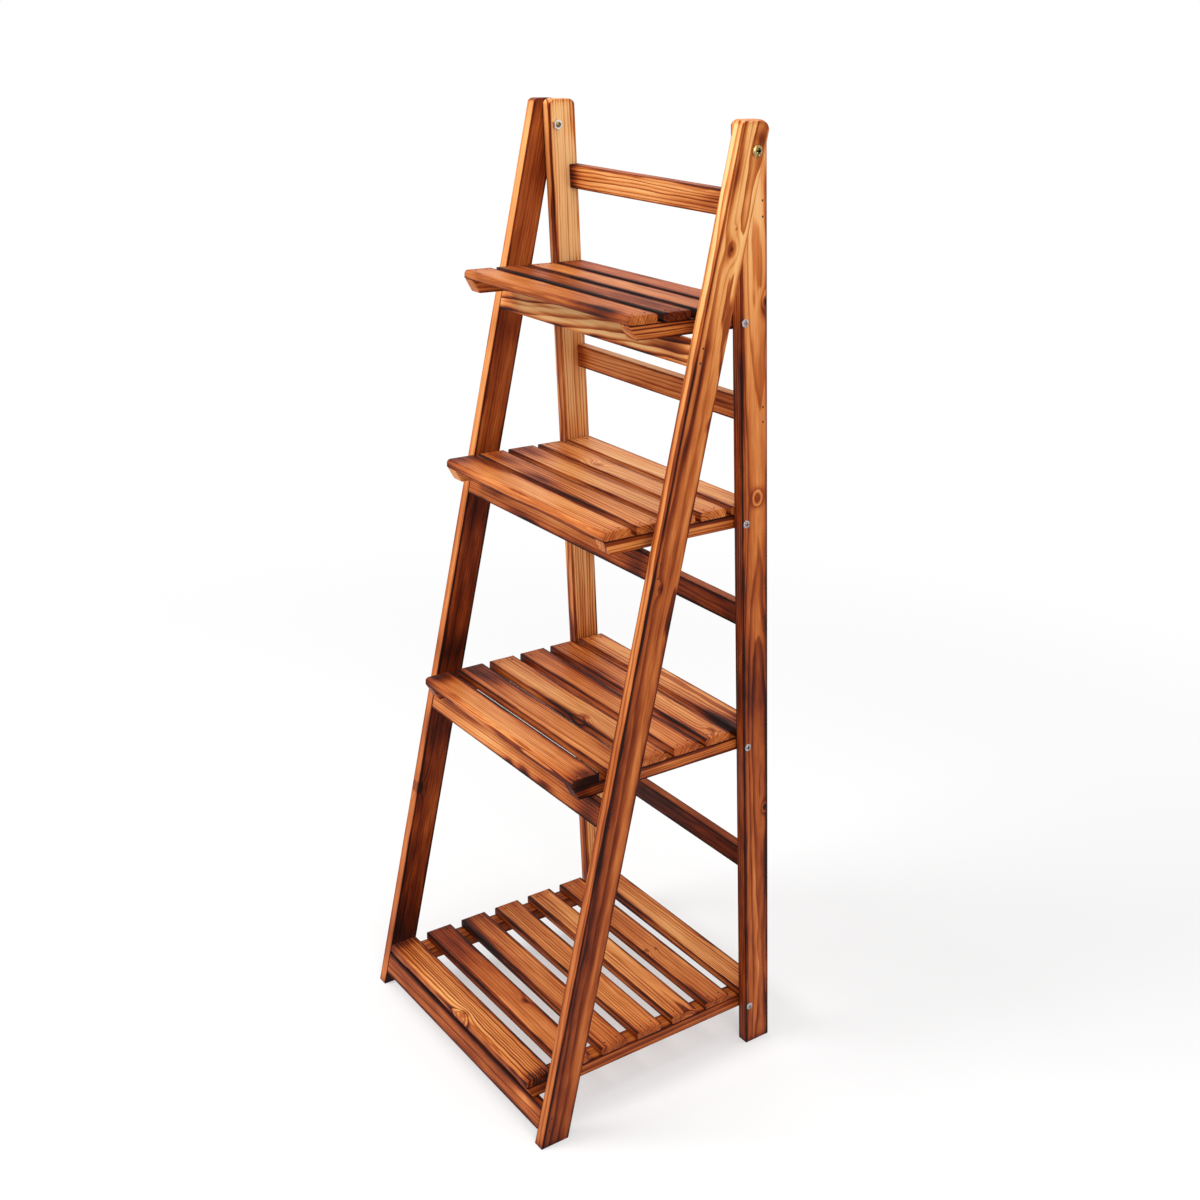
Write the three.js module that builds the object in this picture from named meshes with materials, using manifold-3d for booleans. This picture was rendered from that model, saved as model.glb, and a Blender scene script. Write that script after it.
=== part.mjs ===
// Folding four-tier ladder plant stand in flame-darkened softwood.
//
// Two ladder frames cross at a pair of bolts near their tops and open like a pair of steps.
// Four slatted shelves swing on screws in the rear legs and lie on the rungs of the front frame.
//
// Millimetres. +X is the viewer's right, +Y runs to the back, +Z is up. The origin lies on
// the floor, in the middle of the stand's width and depth. The stand is open, as it is used.

import * as THREE from 'three';
import { mergeVertices } from 'three/addons/utils/BufferGeometryUtils.js';
import Module from 'manifold-3d';

const wasm = await Module();
wasm.setup();

// ---------------------------------------------------------------------------
// Driving dimensions
// ---------------------------------------------------------------------------

// Whole stand
const standHeight = 1090;
const standWidth = 380;
const frontLean = THREE.MathUtils.degToRad(11.3);
const rearLean = THREE.MathUtils.degToRad(4.2);

// Legs: all four are cut from the same board
const legWidth = 35;
const legThickness = 14;
const legGap = 1.8;
const pivotDrop = 28;
const frontPivotSetback = 24;
const rearPivotSetback = 8;
const frontLegTopFrontRound = 5;
const frontLegTopRearRound = 11;
const rearLegTopFrontRound = 8;
const rearLegTopRearRound = 7;

// Shelves, from the top one down. The top one hangs from the stand's top, two follow at their
// spacings and the lowest one stands above the floor.
const topShelfDrop = 184;
const shelfSpacings = [217.5, 268];
const lowestShelfHeight = 68;
const slatCounts = [4, 5, 6, 7];

// How far each shelf stands out in front of the front legs and behind the rear legs
const shelfNoses = [67.8, 49.6, 28.7, 12.9];
const shelfTails = [-1, -1, 3.5, 2.5];

// Cross bars: front rungs, and rear rails, one under the stand's top and one below each shelf
// but the lowest
const rungHeight = 27;
const rungThickness = 12;
const railHeight = 27;
const railThickness = 12;
const topRailDrop = 73;
const railDrops = [102, 124, 171];

// Slats and the battens under their ends
const slatWidth = 35;
const slatThickness = 9.5;
const battenWidths = [18, 18, 18, 24];
const battenHeight = 15;
const battenNoseCut = 9;
const battenNoseEase = 1.7;
const shelfSideClearance = 2.7;
const frontSlatRound = 4.4;

// Shelf screws: one through each rear leg into each batten
const screwSetback = 5.8;
const screwDrop = 16;
const screwRadius = 2;
const screwHeadRadius = 4.3;
const screwHeadDepth = 2.6;
const screwBite = 12;

// Pivot bolts with their nuts, and the washers that keep the legs apart
const boltRadius = 3;
const boltHeadRadius = 6;
const boltHeadHeight = 3.6;
const boltEndLength = 1.5;
const nutAcrossFlats = 10;
const nutThickness = 5;
const washerRadius = 6;

// Cross recess in the screw and bolt heads
const recessSpan = 0.55;
const recessWidth = 0.17;
const recessDepth = 1.4;

// Clearances and finish
const seatGap = 0.3;
const turningClearance = 0.3;
const edgeEase = 1;
const roundSegments = 20;

// ---------------------------------------------------------------------------
// Colours
// ---------------------------------------------------------------------------

const legColour = 0x9a5426;
const barColour = 0x7d3a1c;
const slatColour = 0xb56c3b;
const battenColour = 0xa9683a;
const steelColour = 0xb4ae9f;

function wood(colour) {
  return new THREE.MeshStandardMaterial({ color: colour, roughness: 0.42, metalness: 0 });
}

function steel() {
  return new THREE.MeshStandardMaterial({ color: steelColour, roughness: 0.3, metalness: 0.9 });
}

// ---------------------------------------------------------------------------
// Worked-out places
// ---------------------------------------------------------------------------

const pivotHeight = standHeight - pivotDrop;
const frontLegOuterX = standWidth / 2;
const frontLegInnerX = frontLegOuterX - legThickness;
const rearLegOuterX = frontLegInnerX - legGap;
const rearLegInnerX = rearLegOuterX - legThickness;
const shelfHalfLength = rearLegInnerX - shelfSideClearance;
const sides = [{ name: 'left', sign: -1 }, { name: 'right', sign: 1 }];

// A frame's own axes start at the pivot bolts. Its +Z runs up the legs and its -Y is their front.
// This gives the place up the frame where it reaches a height above the floor.
function upFrame(height, forward, tilt) {
  return (height - pivotHeight - forward * Math.sin(tilt)) / Math.cos(tilt);
}

// And this gives how far back that place is, from the pivot bolts.
function backOf(forward, up, tilt) {
  return forward * Math.cos(tilt) - up * Math.sin(tilt);
}

// A tilt turns a frame about the bolts. The front frame's feet go forward, the rear frame's back.
const frontTilt = -frontLean;
const rearTilt = rearLean;

const rearLegFrontY = -rearPivotSetback;
const rearLegRearY = legWidth - rearPivotSetback;
const frontLegFrontY = -frontPivotSetback;

// How far back a line that runs up a frame is at a height above the floor
function lineAt(height, forward, tilt) {
  return backOf(forward, upFrame(height, forward, tilt), tilt);
}

// Heights of the slats' tops, from the top shelf down
const topShelfHeight = standHeight - topShelfDrop;
const shelfHeights = [topShelfHeight];
for (const spacing of shelfSpacings) {
  shelfHeights.push(shelfHeights[shelfHeights.length - 1] - spacing);
}
shelfHeights.push(lowestShelfHeight);

// Heights of the rails' tops
const railHeights = [standHeight - topRailDrop];
railDrops.forEach((drop, i) => railHeights.push(shelfHeights[i] - drop));

// Each shelf: where its screws stand, its front and rear edges, the step from slat to slat, and
// the place of its rung up the front frame
const shelfPlans = shelfHeights.map((height, i) => {
  const screwY = rearLegFrontY + screwSetback;
  const screwUp = upFrame(height - screwDrop, screwY, rearTilt);
  const frontY = lineAt(height, frontLegFrontY, frontTilt) - shelfNoses[i];
  const rearY = lineAt(height, rearLegRearY, rearTilt) + shelfTails[i];
  const battenBottom = height - slatThickness - seatGap - battenHeight;
  return {
    slats: slatCounts[i],
    battenWidth: battenWidths[i],
    frontY,
    rearY,
    slatStep: (rearY - frontY - slatWidth) / (slatCounts[i] - 1),
    axisY: backOf(screwY, screwUp, rearTilt),
    axisZ: height - screwDrop,
    screwY,
    screwUp,
    rungTopUp: upFrame(battenBottom - seatGap, frontLegFrontY, frontTilt),
  };
});

// The middle of the stand's depth, from the foremost foot or shelf to the rear feet
const frontFootY = lineAt(0, frontLegFrontY, frontTilt);
const rearFootY = lineAt(0, rearLegRearY, rearTilt);
const foremostY = Math.min(frontFootY, ...shelfPlans.map((plan) => plan.frontY));
const rearmostY = Math.max(rearFootY, ...shelfPlans.map((plan) => plan.rearY));
const middleY = (foremostY + rearmostY) / 2;

// ---------------------------------------------------------------------------
// Shape helpers
// ---------------------------------------------------------------------------

function solidOf(geometry) {
  const bare = geometry.clone();
  bare.deleteAttribute('normal');
  bare.deleteAttribute('uv');
  const merged = mergeVertices(bare, 1e-4);
  const mesh = new wasm.Mesh({
    numProp: 3,
    vertProperties: new Float32Array(merged.attributes.position.array),
    triVerts: new Uint32Array(merged.index.array),
  });
  return new wasm.Manifold(mesh);
}

function geometryOf(solid) {
  const mesh = solid.getMesh();
  const geometry = new THREE.BufferGeometry();
  geometry.setAttribute('position', new THREE.BufferAttribute(mesh.vertProperties, 3));
  geometry.setIndex(new THREE.BufferAttribute(mesh.triVerts, 1));
  geometry.computeVertexNormals();
  return geometry;
}

function cutAway(geometry, cutters) {
  let solid = solidOf(geometry);
  for (const cutter of cutters) {
    solid = solid.subtract(solidOf(cutter));
  }
  return geometryOf(solid);
}

// An outline with cut or rounded corners, from corners given as [y, z, cut, 'round' or nothing]
function easedShape(corners) {
  const shape = new THREE.Shape();
  const count = corners.length;
  corners.forEach(([y, z, cut, style], i) => {
    const here = new THREE.Vector2(y, z);
    const before = new THREE.Vector2(...corners[(i + count - 1) % count].slice(0, 2));
    const after = new THREE.Vector2(...corners[(i + 1) % count].slice(0, 2));
    const arrive = here.clone().add(before.sub(here).setLength(cut));
    const leave = here.clone().add(after.sub(here).setLength(cut));
    if (i === 0) {
      shape.moveTo(arrive.x, arrive.y);
    } else {
      shape.lineTo(arrive.x, arrive.y);
    }
    if (style === 'round') {
      shape.quadraticCurveTo(here.x, here.y, leave.x, leave.y);
    } else {
      shape.lineTo(leave.x, leave.y);
    }
  });
  shape.closePath();
  return shape;
}

// An outline in Y and Z drawn out along X, centred on x = 0, with its end edges eased
function barAlongX(shape, length, ease) {
  const geometry = new THREE.ExtrudeGeometry(shape, {
    depth: length - 2 * ease,
    curveSegments: 5,
    bevelEnabled: true,
    bevelThickness: ease,
    bevelSize: ease,
    bevelOffset: -ease,
    bevelSegments: 1,
  });
  geometry.translate(0, 0, ease - length / 2);
  const turn = new THREE.Matrix4().makeBasis(
    new THREE.Vector3(0, 1, 0),
    new THREE.Vector3(0, 0, 1),
    new THREE.Vector3(1, 0, 0),
  );
  return geometry.applyMatrix4(turn);
}

// A round tool along X from x0 to x1 at (y, z)
function roundTool(radius, x0, x1, y, z) {
  const tool = new THREE.CylinderGeometry(radius, radius, Math.abs(x1 - x0), roundSegments);
  tool.rotateZ(Math.PI / 2);
  tool.translate((x0 + x1) / 2, y, z);
  return tool;
}

// A turned piece: its profile runs from the tip to the head as [radius, x], about the X axis
function turnedAlongX(profile) {
  const points = profile.map(([radius, x]) => new THREE.Vector2(radius, x));
  const geometry = new THREE.LatheGeometry(points, roundSegments);
  geometry.rotateZ(-Math.PI / 2);
  return geometry;
}

// The cross-shaped driver recess, sunk from the face at x into a head of this radius
function crossRecess(headRadius, x) {
  const span = 2 * headRadius * recessSpan;
  const width = 2 * headRadius * recessWidth;
  const depth = 2 * recessDepth;
  return [
    new THREE.BoxGeometry(depth, span, width).translate(x, 0, 0),
    new THREE.BoxGeometry(depth, width, span).translate(x, 0, 0),
  ];
}

function addPiece(group, name, geometry, material) {
  const mesh = new THREE.Mesh(geometry, material);
  mesh.name = name;
  group.add(mesh);
  return mesh;
}

// ---------------------------------------------------------------------------
// Legs
// ---------------------------------------------------------------------------

// A leg's outline in its frame's axes. Its top and its foot are cut level with the floor.
function legShape(frontY, tilt, topFrontRound, topRearRound) {
  const rearY = frontY + legWidth;
  return easedShape([
    [frontY, upFrame(0, frontY, tilt), edgeEase],
    [rearY, upFrame(0, rearY, tilt), edgeEase],
    [rearY, upFrame(standHeight, rearY, tilt), topRearRound, 'round'],
    [frontY, upFrame(standHeight, frontY, tilt), topFrontRound, 'round'],
  ]);
}

function frontLegGeometry() {
  const outline = legShape(frontLegFrontY, frontTilt, frontLegTopFrontRound, frontLegTopRearRound);
  const board = barAlongX(outline, legThickness, edgeEase);
  const hole = roundTool(boltRadius + turningClearance, -legThickness, legThickness, 0, 0);
  return cutAway(board, [hole]);
}

// The rear leg also has a countersunk hole for each shelf screw, sunk from its outer face
function rearLegGeometry(sign) {
  const outline = legShape(rearLegFrontY, rearTilt, rearLegTopFrontRound, rearLegTopRearRound);
  const board = barAlongX(outline, legThickness, edgeEase);
  const tools = [roundTool(boltRadius + turningClearance, -legThickness, legThickness, 0, 0)];
  for (const plan of shelfPlans) {
    const shank = roundTool(screwRadius + seatGap, -legThickness, legThickness, plan.screwY, plan.screwUp);
    const sink = turnedAlongX([
      [0, -screwHeadDepth - seatGap],
      [screwRadius + seatGap, -screwHeadDepth - seatGap],
      [screwHeadRadius + seatGap, 0],
      [screwHeadRadius + seatGap, 1],
      [0, 1],
    ]);
    if (sign < 0) {
      sink.rotateZ(Math.PI);
    }
    sink.translate(sign * legThickness / 2, plan.screwY, plan.screwUp);
    tools.push(shank, sink);
  }
  return cutAway(board, tools);
}

// ---------------------------------------------------------------------------
// Cross bars
// ---------------------------------------------------------------------------

function crossBar(length, thickness, height) {
  return barAlongX(easedShape([
    [0, -height, edgeEase],
    [thickness, -height, edgeEase],
    [thickness, 0, edgeEase],
    [0, 0, edgeEase],
  ]), length, edgeEase / 2);
}

// ---------------------------------------------------------------------------
// Pivot hardware
// ---------------------------------------------------------------------------

const boltGrip = 2 * legThickness + legGap;

// The right-hand bolt: its head lies at x = 0 on the front leg and its shank runs to -X
function pivotBoltGeometry() {
  const tip = -(boltGrip + seatGap + nutThickness + boltEndLength);
  const chamfer = 0.6;
  const bolt = turnedAlongX([
    [0, tip],
    [boltRadius - chamfer, tip],
    [boltRadius, tip + chamfer],
    [boltRadius, seatGap],
    [boltHeadRadius, seatGap],
    [boltHeadRadius, boltHeadHeight * 0.45],
    [boltHeadRadius * 0.86, boltHeadHeight * 0.8],
    [boltHeadRadius * 0.55, boltHeadHeight],
    [0, boltHeadHeight],
  ]);
  return cutAway(bolt, crossRecess(boltHeadRadius, boltHeadHeight));
}

function ringShape(outline, holeRadius) {
  const hole = new THREE.Path();
  hole.absarc(0, 0, holeRadius, 0, 2 * Math.PI, true);
  outline.holes.push(hole);
  return outline;
}

function flatRing(outline, thickness) {
  const ring = new THREE.ExtrudeGeometry(outline, {
    depth: thickness,
    curveSegments: roundSegments,
    bevelEnabled: false,
  });
  ring.translate(0, 0, -thickness / 2);
  return ring.rotateY(Math.PI / 2);
}

function pivotNutGeometry() {
  const cornerRadius = nutAcrossFlats / Math.sqrt(3);
  const corners = [];
  for (let i = 0; i < 6; i += 1) {
    const angle = i * Math.PI / 3;
    corners.push(new THREE.Vector2(cornerRadius * Math.cos(angle), cornerRadius * Math.sin(angle)));
  }
  return flatRing(ringShape(new THREE.Shape(corners), boltRadius + seatGap), nutThickness);
}

function pivotWasherGeometry() {
  const outline = new THREE.Shape();
  outline.absarc(0, 0, washerRadius, 0, 2 * Math.PI, false);
  return flatRing(ringShape(outline, boltRadius + seatGap), legGap - 2 * seatGap);
}

// ---------------------------------------------------------------------------
// Shelf screws
// ---------------------------------------------------------------------------

// The right-hand screw: its head is flush with x = 0 and it runs to -X through the leg
function shelfScrewGeometry() {
  const tip = -(legThickness + shelfSideClearance + screwBite);
  const pointLength = 2.5;
  const screw = turnedAlongX([
    [0, tip],
    [screwRadius * 0.3, tip + 0.4],
    [screwRadius, tip + pointLength],
    [screwRadius, -screwHeadDepth],
    [screwHeadRadius, -0.3],
    [screwHeadRadius, 0],
    [0, 0],
  ]);
  return cutAway(screw, crossRecess(screwHeadRadius, 0));
}

// ---------------------------------------------------------------------------
// Shelves, each in axes that start on its screws
// ---------------------------------------------------------------------------

function slatGeometry(isFront) {
  const frontCorner = isFront ? [0, 0, frontSlatRound, 'round'] : [0, 0, edgeEase];
  return barAlongX(easedShape([
    [0, -slatThickness, edgeEase],
    [slatWidth, -slatThickness, edgeEase],
    [slatWidth, 0, edgeEase],
    frontCorner,
  ]), 2 * shelfHalfLength, edgeEase);
}

function battenGeometry(plan, sign) {
  const front = plan.frontY - plan.axisY;
  const rear = plan.rearY - plan.axisY;
  const top = screwDrop - slatThickness - seatGap;
  const board = barAlongX(easedShape([
    [front + battenNoseCut, top - battenHeight, edgeEase],
    [rear, top - battenHeight, edgeEase],
    [rear, top, edgeEase],
    [front, top, battenNoseEase],
  ]), plan.battenWidth, edgeEase);
  const holeDepth = screwBite + 2 * seatGap;
  const outer = sign * plan.battenWidth / 2;
  const hole = roundTool(screwRadius + turningClearance, outer + sign, outer - sign * holeDepth, 0, 0);
  return cutAway(board, [hole]);
}

function buildShelf(plan, number) {
  const shelf = new THREE.Group();
  shelf.position.set(0, plan.axisY, plan.axisZ);
  for (let i = 0; i < plan.slats; i += 1) {
    const name = `shelf_${number}_slat_${i + 1}`;
    const slat = addPiece(shelf, name, slatGeometry(i === 0), wood(slatColour));
    slat.position.set(0, plan.frontY - plan.axisY + i * plan.slatStep, screwDrop);
  }
  for (const side of sides) {
    const name = `shelf_${number}_batten_${side.name}`;
    const batten = addPiece(shelf, name, battenGeometry(plan, side.sign), wood(battenColour));
    batten.position.x = side.sign * (shelfHalfLength - plan.battenWidth / 2);
  }
  return shelf;
}

// ---------------------------------------------------------------------------
// The two frames
// ---------------------------------------------------------------------------

function buildFrontFrame() {
  const frame = new THREE.Group();
  frame.position.z = pivotHeight;
  frame.rotation.x = frontTilt;
  for (const side of sides) {
    const leg = addPiece(frame, `front_leg_${side.name}`, frontLegGeometry(), wood(legColour));
    leg.position.x = side.sign * (frontLegInnerX + legThickness / 2);
  }
  const rungLength = 2 * (frontLegInnerX - seatGap);
  shelfPlans.forEach((plan, i) => {
    const bar = crossBar(rungLength, rungThickness, rungHeight);
    const rung = addPiece(frame, `front_rung_${i + 1}`, bar, wood(barColour));
    rung.position.set(0, frontLegFrontY, plan.rungTopUp);
  });
  return frame;
}

function buildRearFrame() {
  const frame = new THREE.Group();
  frame.position.z = pivotHeight;
  frame.rotation.x = rearTilt;
  for (const side of sides) {
    const leg = addPiece(frame, `rear_leg_${side.name}`, rearLegGeometry(side.sign), wood(legColour));
    leg.position.x = side.sign * (rearLegInnerX + legThickness / 2);
  }
  const railLength = 2 * (rearLegInnerX - seatGap);
  const railFrontY = rearLegRearY - railThickness;
  railHeights.forEach((height, i) => {
    const bar = crossBar(railLength, railThickness, railHeight);
    const rail = addPiece(frame, `rear_rail_${i + 1}`, bar, wood(barColour));
    rail.position.set(0, railFrontY, upFrame(height, railFrontY, rearTilt));
  });
  for (const side of sides) {
    addPivotHardware(frame, side);
    addShelfScrews(frame, side);
  }
  return frame;
}

// A half turn about Z carries a right-hand bolt or screw to the left side
function faceSide(mesh, sign) {
  mesh.rotation.z = sign < 0 ? Math.PI : 0;
}

function addPivotHardware(frame, side) {
  const bolt = addPiece(frame, `pivot_bolt_${side.name}`, pivotBoltGeometry(), steel());
  bolt.position.x = side.sign * frontLegOuterX;
  faceSide(bolt, side.sign);
  const washer = addPiece(frame, `pivot_washer_${side.name}`, pivotWasherGeometry(), steel());
  washer.position.x = side.sign * (rearLegOuterX + legGap / 2);
  const nut = addPiece(frame, `pivot_nut_${side.name}`, pivotNutGeometry(), steel());
  nut.position.x = side.sign * (rearLegInnerX - seatGap - nutThickness / 2);
}

function addShelfScrews(frame, side) {
  shelfPlans.forEach((plan, i) => {
    const screw = addPiece(frame, `shelf_${i + 1}_screw_${side.name}`, shelfScrewGeometry(), steel());
    screw.position.set(side.sign * rearLegOuterX, plan.screwY, plan.screwUp);
    faceSide(screw, side.sign);
  });
}

// ---------------------------------------------------------------------------
// The stand
// ---------------------------------------------------------------------------

const stand = new THREE.Group();
stand.position.y = -middleY;
stand.add(buildFrontFrame());
stand.add(buildRearFrame());
shelfPlans.forEach((plan, i) => stand.add(buildShelf(plan, i + 1)));

export default stand;
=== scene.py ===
# %% [markdown]
# A folding ladder-shaped plant stand, made of softwood boards that were darkened with a flame and
# lacquered. The exact shapes and the way it folds come from a frame of plain solids, which was
# made first and is only read here. This lesson dresses that frame: finer boards, brads, screws
# and bolts, and a wood finish made of nodes.

# %% Load the frame
import math

import bpy
import numpy as np
from mathutils import Matrix, Vector


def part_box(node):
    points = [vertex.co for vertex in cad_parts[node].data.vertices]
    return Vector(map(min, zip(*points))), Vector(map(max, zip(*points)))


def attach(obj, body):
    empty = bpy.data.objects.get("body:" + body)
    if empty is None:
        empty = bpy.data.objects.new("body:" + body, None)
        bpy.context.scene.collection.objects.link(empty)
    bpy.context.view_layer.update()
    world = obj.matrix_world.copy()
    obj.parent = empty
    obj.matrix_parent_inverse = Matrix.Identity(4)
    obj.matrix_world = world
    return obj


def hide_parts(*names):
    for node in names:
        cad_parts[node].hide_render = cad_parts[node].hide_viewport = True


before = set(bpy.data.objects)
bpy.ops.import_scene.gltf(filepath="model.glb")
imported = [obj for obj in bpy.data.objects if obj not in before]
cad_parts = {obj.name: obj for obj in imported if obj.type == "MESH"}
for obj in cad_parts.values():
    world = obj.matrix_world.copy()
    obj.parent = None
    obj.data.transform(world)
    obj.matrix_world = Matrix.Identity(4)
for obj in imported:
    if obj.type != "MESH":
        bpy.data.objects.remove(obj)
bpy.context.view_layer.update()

print("solids:", len(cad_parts))

# %% [markdown]
# The camera stands where the photographer stood: in front of the stand and well to its right, at
# about the height of its top. Direction, roll and lens were worked out from the stand's own
# corners. The small shift keeps the uprights upright, as the photograph has them.

# %% Camera
CAMERA_PLACE = (1.34762, -0.93605, 1.18887)
AZIMUTH, ELEVATION, ROLL = 53.423, 18.377, -1.577
SENSOR, LENS = 36, 46.28
SHIFT = (-0.0230, -0.0655)


def look_from(place, azimuth, elevation, roll):
    """The camera's matrix. Azimuth turns to the left from +Y, elevation looks down."""
    a, e = math.radians(azimuth), math.radians(elevation)
    ahead = Vector((-math.sin(a) * math.cos(e), math.cos(a) * math.cos(e), -math.sin(e)))
    right = Vector((math.cos(a), math.sin(a), 0))
    above = right.cross(ahead)
    tilt = Matrix.Rotation(math.radians(roll), 3, ahead)
    right, above = tilt @ right, tilt @ above
    turn = Matrix((right, above, -ahead)).transposed().to_4x4()
    return Matrix.Translation(place) @ turn


camera = bpy.data.objects.new("camera", bpy.data.cameras.new("camera"))
bpy.context.collection.objects.link(camera)
camera.matrix_world = look_from(CAMERA_PLACE, AZIMUTH, ELEVATION, ROLL)
camera.data.sensor_width = SENSOR
camera.data.lens = LENS
camera.data.shift_x, camera.data.shift_y = SHIFT
bpy.context.scene.camera = camera
print("lens", LENS, "mm, distance", round(camera.location.length, 3), "m")

# %% [markdown]
# Materials, the studio's light and the rows of slats are all trees of nodes. Written out in full a
# node takes many lines. A few helpers make a node, give its sockets their values and link it, so
# that one line of this script says what one node does.

# %% Make one node
def feed(tree, socket, value):
    """Links a socket to another socket, or gives it a constant value."""
    if isinstance(value, bpy.types.NodeSocket):
        tree.links.new(value, socket)
    else:
        socket.default_value = value


def put(tree, kind, settings=None, **sockets):
    """A new node. Its sockets are named with _ for a space, and fed with the values given."""
    node = tree.nodes.new(kind)
    for key, value in (settings or {}).items():
        setattr(node, key, value)
    for key, value in sockets.items():
        feed(tree, node.inputs[key.replace("_", " ")], value)
    return node


def number(tree, operation, *values, clamp=False):
    """The output of a Math node."""
    node = put(tree, "ShaderNodeMath", {"operation": operation, "use_clamp": clamp})
    for socket, value in zip(node.inputs, values):
        feed(tree, socket, value)
    return node.outputs[0]


def vector(tree, operation, *values):
    """A Vector Math node. Its first output is a vector, its Value output a number."""
    node = put(tree, "ShaderNodeVectorMath", {"operation": operation})
    for socket, value in zip(node.inputs, values):
        feed(tree, socket, value)
    return node


scratch_tree = bpy.data.node_groups.new("scratch", "ShaderNodeTree")
number(scratch_tree, "ADD", vector(scratch_tree, "LENGTH", (3, 4, 0)).outputs["Value"], 1.0)
print("one line made", [node.bl_idname for node in scratch_tree.nodes])
bpy.data.node_groups.remove(scratch_tree)

# %% [markdown]
# Most finishes go smoothly from one look to another: bright to dull, paper to glow, pale to burnt.
# Hard limits would show as lines. So the next helpers are a smooth step, a mix of two colours and
# a mix of two shaders, and with them a new material and its end.

# %% Steps, mixes and materials
def between(tree, value, low, high, out_low=0.0, out_high=1.0):
    """A smooth step of value from low to high. Each of them may be a socket."""
    titles = ("Value", "From_Min", "From_Max", "To_Min", "To_Max")
    ends = dict(zip(titles, (value, low, high, out_low, out_high)))
    settings = {"interpolation_type": "SMOOTHSTEP"}
    return put(tree, "ShaderNodeMapRange", settings, **ends).outputs["Result"]


def mix_colours(tree, share, first, second, kind="MIX"):
    """Two colours mixed by share. A colour is a socket or three numbers."""
    node = put(tree, "ShaderNodeMix", {"data_type": "RGBA", "blend_type": kind})
    feed(tree, node.inputs[0], share)
    for socket, colour in ((node.inputs[6], first), (node.inputs[7], second)):
        feed(tree, socket, (*colour, 1) if isinstance(colour, tuple) else colour)
    return node.outputs[2]


def mix_shaders(tree, share, first, second):
    """A node that mixes two shaders by share."""
    node = put(tree, "ShaderNodeMixShader")
    for socket, value in zip(node.inputs, (share, first.outputs[0], second.outputs[0])):
        tree.links.new(value, socket)
    return node


def new_material(name):
    """An empty node material and its tree."""
    material = bpy.data.materials.new(name)
    material.use_nodes = True
    material.node_tree.nodes.clear()
    return material, material.node_tree


def finish_with(tree, shader, kind="ShaderNodeOutputMaterial"):
    """Sends a shader to the tree's output."""
    tree.links.new(shader.outputs[0], put(tree, kind).inputs["Surface"])


sample, tree = new_material("sample")
share = between(tree, 0.3, 0.0, 1.0)
black, white = put(tree, "ShaderNodeEmission", Strength=0.0), put(tree, "ShaderNodeEmission")
finish_with(tree, mix_shaders(tree, share, black, white))
print("a sample material has", len(tree.nodes), "nodes and", len(tree.links), "links")
bpy.data.materials.remove(sample)

# %% [markdown]
# The studio is a white sweep of paper. A real one is lit until it burns out behind the product. It
# could be rendered so here, but that much light would wash out the wood. Instead the paper is
# pale and glows white further out, and only to the camera, to reflections and to refractions. It
# lights nothing, and near the stand it keeps the stand's soft shadow.

# %% Floor and backdrop
FLOOR_HALF = 6
PAPER = (0.93, 0.93, 0.93, 1)
WHITE = (1, 1, 1, 1)
GLOW_STARTS, GLOW_FULL = 0.75, 1.9
GLOW_NEAR = 0.45
SOFT_LIGHT = 0.5


def mesh_object(name, points, faces):
    """A new object from points and faces."""
    mesh = bpy.data.meshes.new(name)
    mesh.from_pydata([tuple(p) for p in points], [], [tuple(f) for f in faces])
    mesh.update()
    made = bpy.data.objects.new(name, mesh)
    bpy.context.collection.objects.link(made)
    return made


def seen(tree):
    """A socket that is 1 for the camera, reflections and refractions, and 0 for light."""
    path = put(tree, "ShaderNodeLightPath")
    mirrored = number(tree, "MAXIMUM", path.outputs["Is Glossy Ray"],
                      path.outputs["Is Transmission Ray"])
    return number(tree, "MAXIMUM", path.outputs["Is Camera Ray"], mirrored)


floor_finish, tree = new_material("floor_paper")
paper = put(tree, "ShaderNodeBsdfDiffuse", Color=PAPER)
glow = put(tree, "ShaderNodeEmission", Color=WHITE, Strength=1.0)
spot = put(tree, "ShaderNodeTexCoord").outputs["Object"]
away = vector(tree, "LENGTH", spot).outputs["Value"]
sweep = between(tree, away, GLOW_STARTS, GLOW_FULL)
sweep = number(tree, "MULTIPLY_ADD", sweep, 1 - GLOW_NEAR, GLOW_NEAR)
share = number(tree, "MULTIPLY", sweep, seen(tree))
finish_with(tree, mix_shaders(tree, share, paper, glow))

corners = [(x * FLOOR_HALF, y * FLOOR_HALF, 0) for x, y in ((-1, -1), (1, -1), (1, 1), (-1, 1))]
floor = mesh_object("floor", corners, [(0, 1, 2, 3)])
floor.data.materials.append(floor_finish)

world = bpy.data.worlds.new("studio")
bpy.context.scene.world = world
world.use_nodes = True
sky = world.node_tree
sky.nodes.clear()
soft = put(sky, "ShaderNodeBackground", Color=WHITE, Strength=SOFT_LIGHT)
white = put(sky, "ShaderNodeBackground", Color=WHITE, Strength=1.0)
finish_with(sky, mix_shaders(sky, seen(sky), soft, white), "ShaderNodeOutputWorld")
print("the floor is white to the camera from", GLOW_FULL, "m out")

# %% [markdown]
# Three large square lamps light the wood: a key lamp in front and to the left, a weaker one on
# the right, where the camera is, and one overhead. Large lamps give soft shadows and long soft
# lights on the lacquer. Their power is set so that a colour renders about as it is written.

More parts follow.
